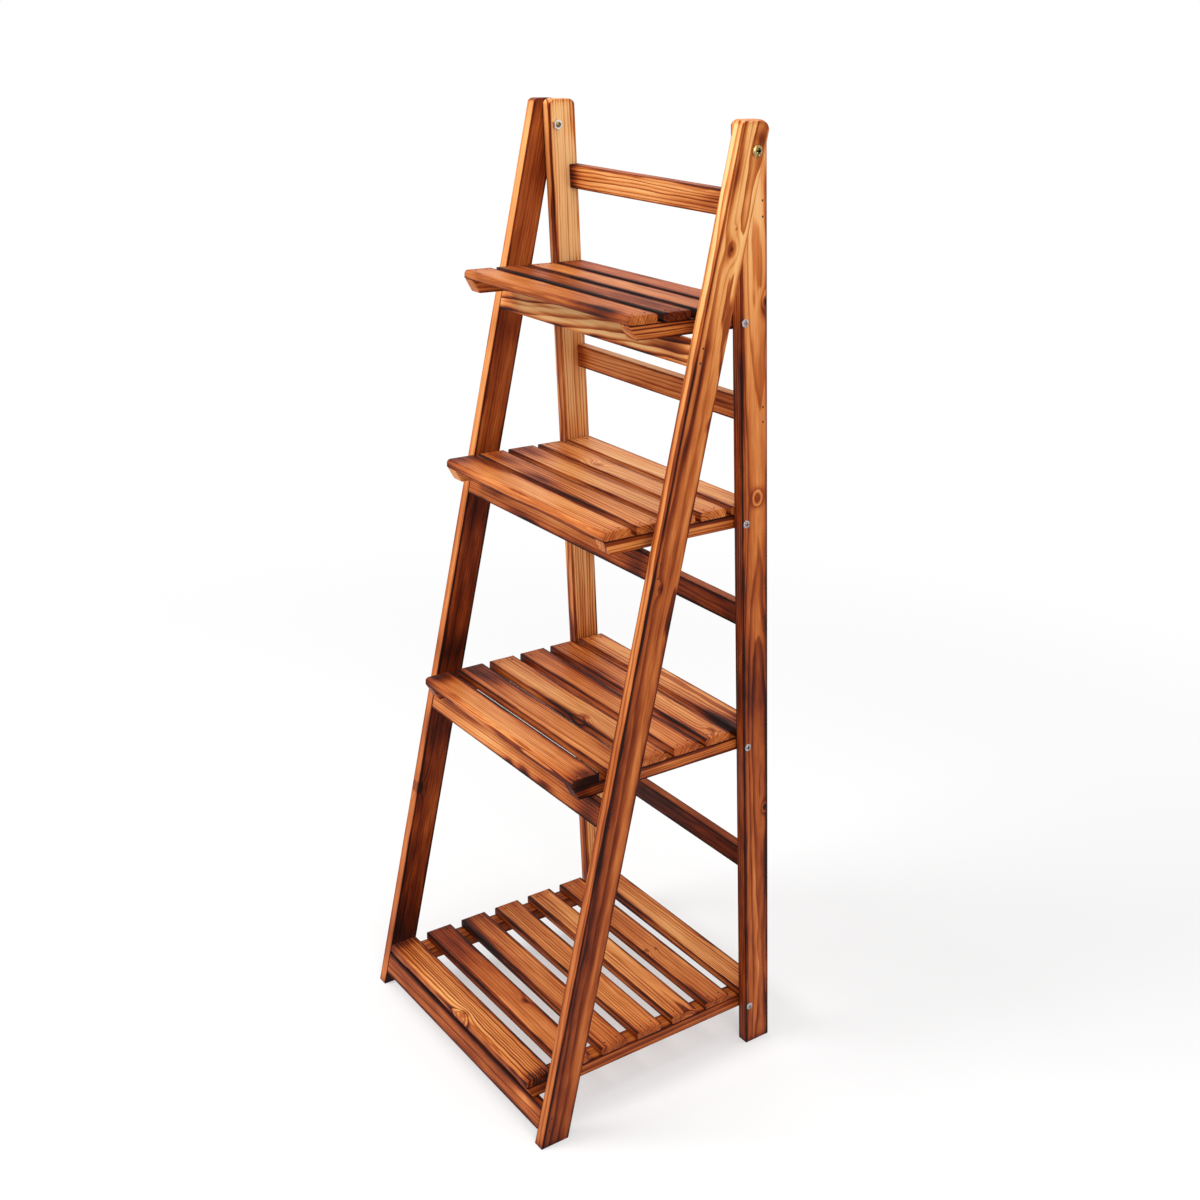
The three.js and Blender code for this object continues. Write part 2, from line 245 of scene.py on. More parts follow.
# %% Lamps
LAMPS = {
    "key": ((-0.9, -2.2, 2.6), 0.55, 1.4, 60),
    "side": ((2.6, -0.9, 1.9), 0.5, 1.6, 30),
    "top": ((0.2, 0.1, 3.0), 0.5, 1.6, 26),
}
for name, (place, aim_height, size, power) in LAMPS.items():
    lamp = bpy.data.objects.new(name, bpy.data.lights.new(name, "AREA"))
    lamp.data.size = size
    lamp.data.energy = power
    lamp.location = place
    lamp.rotation_mode = "QUATERNION"
    toward = Vector((0, 0, aim_height)) - Vector(place)
    lamp.rotation_quaternion = toward.to_track_quat("-Z", "Y")
    bpy.context.collection.objects.link(lamp)
    print(name, "lamp:", power, "W,", size, "m wide")
bpy.context.scene.view_settings.view_transform = "Standard"

# %% [markdown]
# Every wooden piece is a planed board with softened edges. A box could be bevelled, but the burnt
# finish needs points all over the surface, to hold how strongly the flame touched each place. So a
# board is made from a lattice of points on a box. Its long edges are rounded first, then its ends,
# and last the ends are slanted or rounded off where the real board is cut so.

# %% Board lattice
EDGE = 0.0011
STEP_ALONG, STEP_ACROSS = 0.004, 0.0026
BEND_ANGLES = [22.5, 45]


def stops(half, rounds, step):
    """Places of the points along one axis of a board, closer together in the rounded edges."""
    low, high = rounds
    bend = np.tan(np.radians(BEND_ANGLES))
    flat = np.linspace(-(half - low), half - high, max(2, round((2 * half - low - high) / step)))
    start = [-(half - low) - low * t for t in bend[::-1]]
    finish = [half - high + high * t for t in bend]
    return np.array([*start, *flat, *finish])


def box_lattice(along, across, through):
    """Points on the surface of a box lattice, and the quads between them, facing outwards."""
    counts = [len(along), len(across), len(through)]
    spots = np.array(np.meshgrid(*(np.arange(n) for n in counts), indexing="ij"))
    spots = spots.reshape(3, -1)
    edge = np.zeros(spots.shape[1], bool)
    for axis in range(3):
        edge |= (spots[axis] == 0) | (spots[axis] == counts[axis] - 1)
    index = np.full(counts, -1)
    kept = spots[:, edge]
    index[tuple(kept)] = np.arange(kept.shape[1])
    points = np.stack([along[kept[0]], across[kept[1]], through[kept[2]]], 1)
    quads = []
    for axis in range(3):
        for end, at_low_end in ((0, True), (counts[axis] - 1, False)):
            sheet = np.take(index, end, axis)
            corners = [sheet[:-1, :-1], sheet[1:, :-1], sheet[1:, 1:], sheet[:-1, 1:]]
            face = np.stack([c.ravel() for c in corners], 1)
            turned = at_low_end != (axis == 1)
            quads.append(face[:, ::-1] if turned else face)
    return points, np.concatenate(quads)


SLAT_SAMPLE = np.array([0.1575, 0.0175, 0.00475])
steps = (STEP_ALONG, STEP_ACROSS, STEP_ACROSS)
sample_stops = [stops(half, (EDGE, EDGE), step) for half, step in zip(SLAT_SAMPLE, steps)]
sample_points, sample_quads = box_lattice(*sample_stops)
print("a slat's lattice:", [len(s) for s in sample_stops], "stops,", len(sample_quads), "quads")

# %% [markdown]
# On the real stand the boards' sharp edges were taken off, by about a millimetre. A bevel would
# add faces of its own there, at uneven distances. Here the lattice already has points close to
# each edge, and they are moved onto the round: a long edge's in the board's section, an end's
# along the board too.

# %% Round the edges of a board
TINY = 1e-9


def round_board(points, half, radii, end_round):
    """Rounds a lattice. radii are the four long edges', by the signs of across and through."""
    p = points.copy()
    section = p[:, 1:].copy()
    near = np.minimum(half[1] - np.abs(section[:, 0]), half[2] - np.abs(section[:, 1]))
    flat_side = half[1] - np.abs(section[:, 0]) < half[2] - np.abs(section[:, 1])
    outward = np.where(flat_side[:, None], [1.0, 0.0], [0.0, 1.0]) * np.sign(section)
    # The long edges: a square corner of the section is pulled onto its circle.
    for (sy, sz), radius in radii.items():
        centre = np.array([sy * (half[1] - radius), sz * (half[2] - radius)])
        away = section - centre
        corner = (away[:, 0] * sy > TINY) & (away[:, 1] * sz > TINY)
        span = np.maximum(np.linalg.norm(away, axis=1), TINY)
        pulled = away * (np.abs(away).max(1) / span)[:, None]
        section[corner] = (centre + pulled)[corner]
        near[corner] = (radius - np.linalg.norm(pulled, axis=1))[corner]
        outward[corner] = (away / span[:, None])[corner]
    # The ends: what lies near a long edge and near the end is pulled onto a circle too.
    inset = np.maximum(end_round - near, 0)
    beyond = np.maximum(np.abs(p[:, 0]) - (half[0] - end_round), 0)
    both = (inset > TINY) & (beyond > TINY)
    span = np.maximum(np.hypot(inset, beyond), TINY)
    scale = np.where(both, end_round / span, 1)
    p[:, 0] = np.sign(p[:, 0]) * (np.abs(p[:, 0]) - beyond + beyond * scale)
    section += outward * (inset * (scale - 1))[:, None]
    p[:, 1:] = section
    return p


even_edges = {(sy, sz): EDGE for sy in (-1, 1) for sz in (-1, 1)}
rounded = round_board(sample_points, SLAT_SAMPLE, even_edges, EDGE)
moved = np.linalg.norm(rounded - sample_points, axis=1)
print("rounding moves", (moved > TINY).sum(), "points, at most", round(moved.max() * 1000, 2), "mm")

# %% [markdown]
# All boards come from one function, because they differ in few things. The first slat of each
# shelf has a rounded nose along its upper front edge, where pots and hands pass, so its section
# may have one larger round. An end may be cut: then its last three centimetres follow the cut.

# %% Make a board
SLAT_NOSE = 0.0044
CUT_REACH = 0.03


def board_shape(half, nose=None, cut_low=None, cut_high=None):
    """Points and quads of a board of these half sizes: along, across and through the wood."""
    radii = dict(even_edges)
    rounds = [[EDGE, EDGE], [EDGE, EDGE]]
    if nose:
        radii[(-1, 1)] = nose
        rounds = [[nose, EDGE], [EDGE, nose]]
    across = stops(half[1], rounds[0], STEP_ACROSS)
    through = stops(half[2], rounds[1], STEP_ACROSS)
    along = stops(half[0], [EDGE, EDGE], STEP_ALONG)
    points, quads = box_lattice(along, across, through)
    points = round_board(points, half, radii, EDGE)
    for cut, sign in ((cut_low, -1), (cut_high, 1)):
        if cut:
            share = np.clip((sign * points[:, 0] - (half[0] - CUT_REACH)) / CUT_REACH, 0, 1)
            points[:, 0] += share * cut(points[:, 1], points[:, 2])
    return points, quads


nosed_points, nosed_quads = board_shape(SLAT_SAMPLE, nose=SLAT_NOSE)
print("a front slat has", len(nosed_points), "points and", len(nosed_quads), "quads")

# %% [markdown]
# The stand was burnt by hand, so no two boards are alike. A single random rule would make them all
# the same on average, so this table notes each board instead. tone is how dark a board is at
# evenly spaced places from its low or left end to the other. On the legs it grows towards the foot,
# partly as painted shade, and the first front rung is paler, partly as painted light. ring is a
# year of growth in millimetres, and pith the heart of the tree, in millimetres across and through
# the board. figure is how strongly the summer wood burnt, along the board where it has more values
# than
# one. tint makes a board redder or more like straw, and faces makes single faces darker or paler:
# the front legs' paler front faces are painted light. lean lets the years run out of a board at a
# slant, and a ripple bends them in waves: how far, how long a wave is, and its slant. A mark is a
# place where the flame dwelt, or a pale one that it missed, and some marks on the legs are painted
# shade where parts meet them: how far along and across it lies, how long and wide it is, in
# millimetres, and how strong.

# %% How each board was burnt, with its painted light and shade
BURN_AND_PAINTED_LIGHT = {
    # The tone darkens towards the foot partly as painted shade, the paler front face, -y, is
    # painted light, and the four wide marks at 72, -108, -205 and -480 mm are painted shade where
    # parts meet the leg.
    "front_leg_left": dict(
        tone=(0.68, 0.64, 0.60, 0.46, 0.34), ring=3.4, figure=0.10, faces={"-y": -0.34},
        marks=[(500, 8, 60, 12, 0.22), (545, 0, 16, 30, 0.16), (288, 0, 22, 30, 0.12),
               (72, 0, 34, 40, 0.17), (-108, 4, 30, 40, 0.17), (-205, -4, 30, 40, 0.14),
               (-480, 0, 28, 40, 0.14), (200, 6, 90, 7, -0.12), (-310, 6, 90, 6, -0.10)]),
    # The tone darkens towards the foot partly as painted shade, and the paler front face, -y, is
    # painted light.
    "front_leg_right": dict(
        tone=(0.54, 0.52, 0.42, 0.26, -0.10), ring=5.4, figure=(0.20, 0.22, 0.26, 0.32, 0.42),
        pith=(13, -30), faces={"-y": -0.24}, tint=-0.25,
        marks=[(200, -17, 380, 3, 0.16), (542, 8, 9, 8, 0.45), (508, -9, 26, 3, 0.4),
               (335, -4, 10, 5, 0.15), (270, -7, 100, 4, 0.3), (100, 4, 120, 4, 0.14),
               (-140, 7, 170, 4, -0.2),
               (-60, -12, 160, 4, 0.12), (-450, 8, 70, 7, -0.12), (-300, -8, 120, 5, 0.06)]),
    # The tone darkens towards the foot partly as painted shade, and the wide marks at 150 and -130
    # mm are painted shade where shelves meet the leg.
    "rear_leg_left": dict(
        tone=(0.11, -0.02, -0.12, -0.18, -0.26), ring=4.2, figure=0.38, pith=(44, -20), tint=0.15,
        faces={"-y": 0.2},
        marks=[(430, -16, 130, 3, 0.35), (345, 10, 18, 9, 0.35), (150, -4, 30, 22, 0.22),
               (-130, 0, 50, 26, 0.3), (520, 10, 20, 8, 0.2), (250, 4, 60, 4, 0.25),
               (20, 9, 80, 4, 0.3), (-60, -6, 60, 4, 0.3)]),
    # The tone darkens towards the foot partly as painted shade, and the wide mark at -70 mm is
    # painted shade just above the third shelf.
    "rear_leg_right": dict(
        tone=(0.42, 0.44, 0.40, 0.24, -0.14), ring=3.0, figure=0.25, pith=(6, -34),
        ripple=(2.2, 560, 2), faces={"-y": 0.10}, tint=0.15,
        marks=[(310, -16, 190, 4, 0.3), (60, 15, 90, 5, 0.2), (-70, 2, 44, 30, 0.18),
               (-20, -12, 90, 6, 0.16), (-300, 15, 250, 4, 0.2), (-430, 5, 66, 5, -0.26),
               (-330, -3, 60, 4, -0.18), (200, 4, 60, 5, -0.12), (358, 15, 10, 6, 0.4)]),
    # The tone is paler partly as painted light, against the shadow that the shelf above casts on
    # the rung.
    "front_rung_1": dict(
        tone=(0.02, -0.20, -0.24, -0.16, 0.0), ring=8.0, figure=0.54, pith=(44, -8),
        lean=(0.10, 0.01), ripple=(1.6, 96, 1.2), tint=0.0,
        marks=[(-158, 0, 20, 20, 0.4), (150, 2, 26, 14, 0.35), (60, -12, 60, 4, 0.3),
               (-96, 6, 34, 5, 0.3), (-44, -2, 40, 5, 0.32), (20, 7, 46, 4, 0.25),
               (108, 0, 40, 5, 0.28)]),
    "front_rung_2": dict(
        tone=(0.38, 0.32, 0.30, 0.36, 0.46), ring=2.6, figure=0.24,
        marks=[(-60, -9, 34, 5, 0.35), (-110, 2, 24, 7, 0.3), (160, 0, 24, 20, 0.3),
               (0, 4, 34, 5, -0.2), (60, -11, 50, 4, 0.3)]),
    "front_rung_3": dict(
        tone=(0.23, 0.21, 0.25, 0.31, 0.43), ring=2.2, figure=0.26, pith=(40, -12),
        marks=[(33, -9, 12, 5, 0.55), (2, -11, 9, 4, 0.5), (74, -8, 14, 4, 0.45),
               (-110, 5, 46, 4, 0.3), (158, 0, 22, 15, 0.3), (-60, -4, 60, 5, -0.12)]),
    "front_rung_4": dict(
        tone=(0.44, 0.44, 0.44, 0.46, 0.46), ring=1.9, figure=0.26, pith=(46, -8), tint=0.0,
        marks=[(142, 6, 24, 7, -0.34), (0, 13, 190, 4, 0.25), (60, -12, 60, 3, 0.2)]),
    "rear_rail_1": dict(
        tone=(0.24, 0.04, 0.06, 0.10, 0.28), ring=2.8, figure=0.36, pith=(34, -20),
        faces={"+y": 0.3},
        marks=[(-158, 0, 14, 22, 0.5), (90, -5, 50, 3, 0.3), (130, 3, 36, 3, 0.3)]),
    "rear_rail_2": dict(
        tone=(0.21, 0.15, 0.19, 0.25, 0.31), ring=2.4, figure=0.22, faces={"+y": -0.2},
        marks=[(-154, 0, 14, 16, 0.3), (110, 2, 34, 4, 0.3), (-40, -6, 60, 4, 0.15)]),
    "rear_rail_3": dict(tone=(0.54, 0.52, 0.52, 0.54, 0.60), figure=0.16, faces={"+y": -0.2}),
    "rear_rail_4": dict(tone=(0.74, 0.72, 0.72, 0.74, 0.76), figure=0.14, faces={"+y": -0.3}),
    "shelf_1_batten_left": dict(tone=(0.30, 0.34, 0.38)),
    "shelf_1_batten_right": dict(tone=(0.28, 0.40, 0.54), ring=4.0, figure=0.40, pith=(8, -16),
                                 tint=-0.5),
    "shelf_2_batten_left": dict(tone=(0.12, 0.22, 0.38)),
    "shelf_2_batten_right": dict(tone=(0.22, 0.28, 0.38), figure=0.32),
    "shelf_3_batten_left": dict(tone=(0.48, 0.54, 0.58)),
    "shelf_3_batten_right": dict(tone=(0.52, 0.36, 0.40), figure=0.34,
                                 marks=[(-120, 0, 14, 30, 0.3)]),
    "shelf_4_batten_left": dict(tone=(0.40, 0.48, 0.48)),
    "shelf_4_batten_right": dict(tone=(0.39, 0.39, 0.43), figure=0.24, ring=2.0),
    "shelf_1_slat_1": dict(
        tone=(0.30, 0.30, 0.31, 0.38, 0.34), ring=2.2, figure=0.20, tint=-0.7, pith=(34, -14),
        faces={"+x": -0.12, "-y": -0.22},
        marks=[(112, -12, 28, 6, 0.5), (78, -16, 36, 3, 0.3)]),
    "shelf_1_slat_2": dict(
        tone=(0.43, 0.49, 0.53, 0.56, 0.56), ring=2.0, figure=0.20, tint=-0.7,
        marks=[(100, -8, 46, 6, 0.12), (-60, -15, 80, 4, 0.35), (0, 8, 70, 5, -0.14)]),
    "shelf_1_slat_3": dict(
        tone=(0.28, 0.28, 0.29, 0.30, 0.36), ring=2.0, figure=0.20, tint=-0.7,
        marks=[(0, -15, 120, 4, 0.22), (60, 8, 40, 4, 0.15)]),
    "shelf_1_slat_4": dict(
        tone=(0.46, 0.40, 0.38, 0.38, 0.44), ring=2.2, figure=0.20, tint=0.4,
        marks=[(-20, -15, 120, 4, 0.22)]),
    "shelf_2_slat_1": dict(
        tone=(0.40, 0.12, 0.09, 0.12, 0.16), ring=2.6, figure=0.22, pith=(26, -22),
        faces={"-y": -0.1},
        marks=[(-146, 2, 18, 14, 0.3), (-112, 12, 40, 5, 0.3), (30, -15, 70, 4, 0.22)]),
    "shelf_2_slat_2": dict(
        tone=(0.32, 0.28, 0.22, 0.16, 0.18), ring=2.4, figure=0.24,
        marks=[(-36, -9, 36, 6, 0.45), (50, -15, 50, 4, 0.4), (-125, 0, 26, 10, 0.3)]),
    "shelf_2_slat_3": dict(
        tone=(0.21, 0.07, 0.02, 0.02, 0.11), ring=2.6, figure=0.24,
        marks=[(-132, 0, 34, 12, 0.35), (3, 12, 60, 5, 0.3), (60, -15, 60, 3, 0.25)]),
    "shelf_2_slat_4": dict(
        tone=(0.12, 0.08, 0.06, 0.08, 0.12), ring=2.8, figure=0.22,
        marks=[(20, 15, 80, 4, 0.25), (-110, -8, 30, 6, 0.2)]),
    "shelf_2_slat_5": dict(
        tone=(0.07, -0.02, -0.02, 0.01, 0.11), ring=2.6, figure=0.24,
        marks=[(-50, 15, 90, 4, 0.25), (110, -14, 40, 4, 0.3)]),
    "shelf_3_slat_1": dict(
        tone=(0.36, 0.14, 0.11, 0.13, 0.26), ring=1.8, figure=0.34, pith=(60, -6),
        faces={"+x": 0.35, "-y": -0.08},
        marks=[(-148, 0, 14, 16, 0.4), (150, 4, 12, 16, 0.35), (0, 15, 170, 4, 0.3)]),
    "shelf_3_slat_2": dict(
        tone=(0.46, 0.24, 0.17, 0.18, 0.24), ring=2.4, figure=0.22,
        marks=[(-126, 3, 42, 12, 0.4), (-80, 14, 60, 4, 0.35), (120, 10, 34, 5, 0.2)]),
    "shelf_3_slat_3": dict(
        tone=(0.15, 0.11, 0.07, 0.11, 0.21), ring=2.6, figure=0.24,
        marks=[(22, -15, 44, 4, 0.5), (-70, 14, 70, 4, 0.3)]),
    "shelf_3_slat_4": dict(
        tone=(0.27, 0.23, 0.21, 0.19, 0.23), ring=2.4, figure=0.20, tint=0.45,
        marks=[(-44, 15, 100, 5, 0.5), (70, 15, 70, 4, 0.35)]),
    "shelf_3_slat_5": dict(
        tone=(0.28, 0.28, 0.18, 0.14, 0.14), ring=3.0, figure=0.26,
        marks=[(-52, -11, 40, 6, 0.4), (110, -15, 50, 4, 0.35)]),
    "shelf_3_slat_6": dict(
        tone=(0.19, 0.09, 0.07, 0.13, 0.29), ring=3.0, figure=0.28, pith=(6, -16),
        marks=[(128, -14, 34, 7, 0.5), (142, 2, 18, 12, 0.3)]),
    "shelf_4_slat_1": dict(
        tone=(0.33, 0.25, 0.21, 0.25, 0.27), ring=3.6, figure=0.46, pith=(46, -12), tint=-0.4,
        faces={"-y": -0.1}, ripple=(0.5, 28, 0.6),
        marks=[(0, -11, 110, 6, -0.14), (-153, 0, 9, 18, 0.35), (154, 0, 8, 18, 0.35),
               (60, 15, 90, 4, 0.25)]),
    "shelf_4_slat_2": dict(
        tone=(0.50, 0.44, 0.30, 0.24, 0.28), ring=2.6, figure=0.16, tint=0.4,
        marks=[(-110, 0, 44, 14, 0.15), (40, 14, 60, 4, 0.2)]),
    "shelf_4_slat_3": dict(
        tone=(0.40, 0.28, 0.22, 0.22, 0.28), ring=2.0, figure=0.26,
        marks=[(-110, -14, 70, 5, 0.4)]),
    "shelf_4_slat_4": dict(tone=(0.34, 0.24, 0.20, 0.21, 0.28), ring=2.0, figure=0.26),
    "shelf_4_slat_5": dict(tone=(0.22, 0.14, 0.10, 0.14, 0.22), ring=2.6, figure=0.34,
                           pith=(6, -14)),
    "shelf_4_slat_6": dict(tone=(0.32, 0.30, 0.29, 0.26, 0.32), ring=2.8, figure=0.22),
    "shelf_4_slat_7": dict(tone=(0.33, 0.21, 0.15, 0.15, 0.21), ring=2.2, figure=0.28,
                           marks=[(0, -8, 150, 7, -0.1), (-90, -15, 60, 4, 0.3)]),
}
print("boards described:", len(BURN_AND_PAINTED_LIGHT))

# %% [markdown]
# Every board was sawn from its own place in a tree, so each one needs a record of its own. The
# same grain on all boards would be quicker, but the eye finds such repeats at once. Here all
# boards are thought of as lying one after the other along one endless plank, so their order gives
# each one its place. What the table above leaves open is drawn with a seed made from the name.

# %% The record of a board
MM = 0.001
SPACING = 1.4
BOARDS = {}


def board_entry(name):
    """The record of one board: its number on the plank, and its row of the table."""
    if name not in BOARDS:
        rng = np.random.default_rng(sum(ord(c) * (k + 3) for k, c in enumerate(name)))
        entry = {
            "number": len(BOARDS),
            "pith": (rng.choice([-1, 1]) * rng.uniform(8, 50), rng.uniform(-34, -12)),
            "lean": (rng.uniform(-0.012, 0.012), rng.uniform(-0.014, 0.014)),
            "ring": rng.uniform(2.0, 3.0),
            "figure": rng.uniform(0.2, 0.3),
            "tint": rng.uniform(-0.25, 0.25),
            "tone": (0.4, 0.35, 0.4), "faces": {}, "marks": [], "ripple": (0, 50, 0),
        }
        entry.update(BURN_AND_PAINTED_LIGHT[name])
        BOARDS[name] = entry
    return BOARDS[name]


SHELF_SLATS = {1: 4, 2: 5, 3: 6, 4: 7}
SIDES = ("left", "right")
names = [f"{kind}_leg_{side}" for kind in ("front", "rear") for side in SIDES]
names += [f"{kind}_{k}" for kind in ("front_rung", "rear_rail") for k in range(1, 5)]
names += [f"shelf_{k}_batten_{side}" for k in SHELF_SLATS for side in SIDES]
names += [f"shelf_{k}_slat_{m}" for k, n in SHELF_SLATS.items() for m in range(1, n + 1)]
for name in names:
    board_entry(name)
print("boards on the plank:", len(BOARDS), "and its length:", round(SPACING * len(BOARDS), 1), "m")

# %% [markdown]
# On a real board the look changes along its length, from face to face and with the distance from
# the heart of the tree. Formulas inside the finish could work that out, but every board would need
# its own copy of them. It is simpler to work it out here, for all points of a board at once. These
# helpers say how near a point is to a face, what a row of the table says at its place, and how it
# lies from the heart of the tree.

# %% Places inside a board
def on_face(place, half, face):
    """1 on the named face of a board, such as +x, fading out over the rounded edges."""
    axis = "xyz".index(face[1])
    sign = 1 if face[0] == "+" else -1
    return np.clip((sign * place[:, axis] - half[axis]) / EDGE + 1, 0, 1)


def evenly(values, place, half):
    """Values spaced evenly from a board's low end to its other end, read at each point."""
    values = np.atleast_1d(values)
    return np.interp(place[:, 0] / half[0], np.linspace(-1, 1, len(values)), values)


def years_from_pith(entry, place):
    """Each point as seen from the heart of the tree, in years across and through the board."""
    pith_across, pith_through = np.array(entry["pith"]) * MM
    lean_across, lean_through = entry["lean"]
    swing, length, slant = entry["ripple"]
    wave = np.sin((place[:, 0] + slant * place[:, 1]) * 2 * np.pi / (length * MM))
    return np.stack([
        np.zeros(len(place)),
        place[:, 1] - pith_across - lean_across * place[:, 0],
        place[:, 2] - pith_through - lean_through * place[:, 0] + swing * MM * wave,
    ], 1) / (entry["ring"] * MM)


sample_years = np.linalg.norm(years_from_pith(BOARDS["shelf_1_slat_1"], nosed_points), axis=1)
fewest, most = sample_years.min().round(1), sample_years.max().round(1)
print("years in shelf 1's first slat:", fewest, "to", most)

# %% [markdown]
# A flame leaves its trace in places: a dark arris, a charred end, a streak where it dwelt. Painted
# pictures could hold that, but they need a flat layout of every board. Six values on each point do
# it without one. grain is the place on the endless plank, and pith the place seen from the heart
# of the tree, counted in years. rim is the distance from the long edges, and burn
# how long the flame stayed, together with the painted shade and light of the table and of the
# slats' sides. figure and tint are those of the table. The finish reads all six.

# %% Values on the points of a board
ARRIS_BURN, ARRIS_WIDTH = 0.18, 0.0016
# The slats' sides face the narrow gaps between them, so their darkening is partly char and partly
# painted shade.
SLAT_SIDE_CHAR_AND_SHADE = 0.22
SLAT_END_BURN, SLAT_END_WIDTH = 0.16, 0.008
LEG_END_BURN, LEG_END_FULL, LEG_END_WIDTH = 0.3, 0.002, 0.004
# On the narrow faces the rim fades this many times as fast, or it would cover them.
THIN_SIDE = 3


def burn_and_painted_light_values(name, entry, place, half):
    """How long the flame stayed at each point, with painted shade and light added."""
    # Tone, faces and marks also carry painted shade and light: legs darker towards the foot, the
    # front legs' paler front faces, and marks where parts meet the legs.
    burn = evenly(entry["tone"], place, half)
    for face, change in entry["faces"].items():
        burn += change * on_face(place, half, face)
    for *mark, strength in entry["marks"]:
        along, across, length, width = np.array(mark) * MM
        far = ((place[:, 0] - along) / length) ** 2 + ((place[:, 1] - across) / width) ** 2
        burn += strength * np.exp(-far)
    inward = half - np.abs(place)
    burn += ARRIS_BURN * np.exp(-((inward[:, 1] + inward[:, 2]) / ARRIS_WIDTH) ** 2)
    if "slat" in name:
        # Slat sides are darkened: partly char, partly painted shade in the gaps.
        sides = on_face(place, half, "-y") + on_face(place, half, "+y")
        burn += SLAT_SIDE_CHAR_AND_SHADE * sides + SLAT_END_BURN * np.exp(-inward[:, 0] / SLAT_END_WIDTH)
    if "leg" in name:
        beyond = np.maximum(inward[:, 0] - LEG_END_FULL, 0)
        burn += LEG_END_BURN * np.exp(-beyond / LEG_END_WIDTH)
    return burn


def board_values(name, place, half):
    """The attributes of a board's points, from their places along, across and through it."""
    entry = board_entry(name)
    across, through = half[1] - np.abs(place[:, 1]), half[2] - np.abs(place[:, 2])
    return {"grain": place + np.array([SPACING * (entry["number"] + 1), 0, 0]),
            "pith": years_from_pith(entry, place),
            "rim": np.maximum(across, THIN_SIDE * through),
            "burn": burn_and_painted_light_values(name, entry, place, half),
            "figure": evenly(entry["figure"], place, half),
            "tint": evenly(entry["tint"], place, half)}


def set_values(mesh, values):
    """Writes attributes on a mesh's points: three numbers a point as a vector, one as a float."""
    for key, data in values.items():
        kind = "FLOAT_VECTOR" if data.ndim == 2 else "FLOAT"
        attribute = mesh.attributes.get(key) or mesh.attributes.new(key, kind, "POINT")
        flat = np.ascontiguousarray(data, dtype=np.float32).ravel()
        attribute.data.foreach_set("vector" if data.ndim == 2 else "value", flat)


sample_burn_and_light = board_values("shelf_1_slat_1", nosed_points, SLAT_SAMPLE)["burn"]
print("burn of shelf 1's first slat:", sample_burn_and_light.min().round(2), "to", sample_burn_and_light.max().round(2))

# %% [markdown]
# The wood's look has parts that belong together: rings, flame marks, colours and knots. They could
# all stand in one large tree for each finish, but then a change would have to be made four times.
# So each part is a node group with inputs of its own. Wood fibres run along a board, so its noise
# is always drawn out that way.

# %% Node groups
def new_group(name, inputs, outputs):
    """A shader node group with named sockets. Returns it with its inner inputs and outputs."""
    group = bpy.data.node_groups.new(name, "ShaderNodeTree")
    kinds = {"v": "NodeSocketVector", "f": "NodeSocketFloat", "c": "NodeSocketColor"}
    for way, titles in (("INPUT", inputs), ("OUTPUT", outputs)):
        for title, kind in titles.items():
            group.interface.new_socket(title, in_out=way, socket_type=kinds[kind])
    return group, put(group, "NodeGroupInput").outputs, put(group, "NodeGroupOutput").inputs


def stretched_noise(tree, grain, along, across, detail=2.0, roughness=0.5):
    """Noise drawn out along the grain: along and across are how fine it is, per metre."""
    drawn = vector(tree, "MULTIPLY", grain, (along, across, across)).outputs[0]
    noise = put(tree, "ShaderNodeTexNoise", Vector=drawn, Scale=1.0, Detail=detail,
                Roughness=roughness)
    return noise.outputs["Fac"]


def around(tree, value, size):
    """Noise moved to lie around 0 and scaled."""
    return number(tree, "MULTIPLY", number(tree, "SUBTRACT", value, 0.5), size)


scratch_group, given, result = new_group("scratch", {"Grain": "v"}, {"Shade": "f"})
shade = around(scratch_group, stretched_noise(scratch_group, given["Grain"], 3, 22), 1.0)
feed(scratch_group, result["Shade"], shade)
print("a group that only shades the grain has", len(scratch_group.nodes), "nodes")
bpy.data.node_groups.remove(scratch_group)

# %% [markdown]
# Softwood grows a pale soft layer in spring and a thin hard dark layer in summer, so a sawn face
# shows lines. Stripes drawn on a flat face would be easy, but they would stop at its edges. One
# node group makes the layers in the round instead: the distance from the pith, bent by slow and
# quick noise, is cut into rings. So the ends of the boards show arcs and the faces show stripes or
# flames of the same tree.

# %% Growth rings
# A noise's numbers: how fine it is along the grain and across it, its detail and its roughness.
WAVER_NOISE, QUICK_NOISE = (3.2, 22, 2), (20, 130, 1)
QUICK_BEND = 0.55
UNEVEN_SCALE, UNEVEN_YEARS = 0.31, 2.4

tree, given, result = new_group(
    "growth_rings",
    {"Grain": "v", "Pith": "v", "Waver": "f", "Bend": "f"},
    {"Late": "f", "Ring": "f"},
)
ring_group = tree
years = vector(tree, "LENGTH", given["Pith"]).outputs["Value"]
slow = around(tree, stretched_noise(tree, given["Grain"], *WAVER_NOISE), 1.0)
years = number(tree, "MULTIPLY_ADD", slow, given["Waver"], years)
quick = around(tree, stretched_noise(tree, given["Grain"], *QUICK_NOISE), QUICK_BEND)
years = number(tree, "ADD", years, number(tree, "ADD", quick, given["Bend"]))
# Good and poor years: a slow noise along the years makes some rings wider than others.
uneven = put(tree, "ShaderNodeTexNoise", {"noise_dimensions": "1D"}, W=years, Scale=UNEVEN_SCALE,
             Detail=1.0)
years = number(tree, "ADD", years, around(tree, uneven.outputs["Fac"], UNEVEN_YEARS))
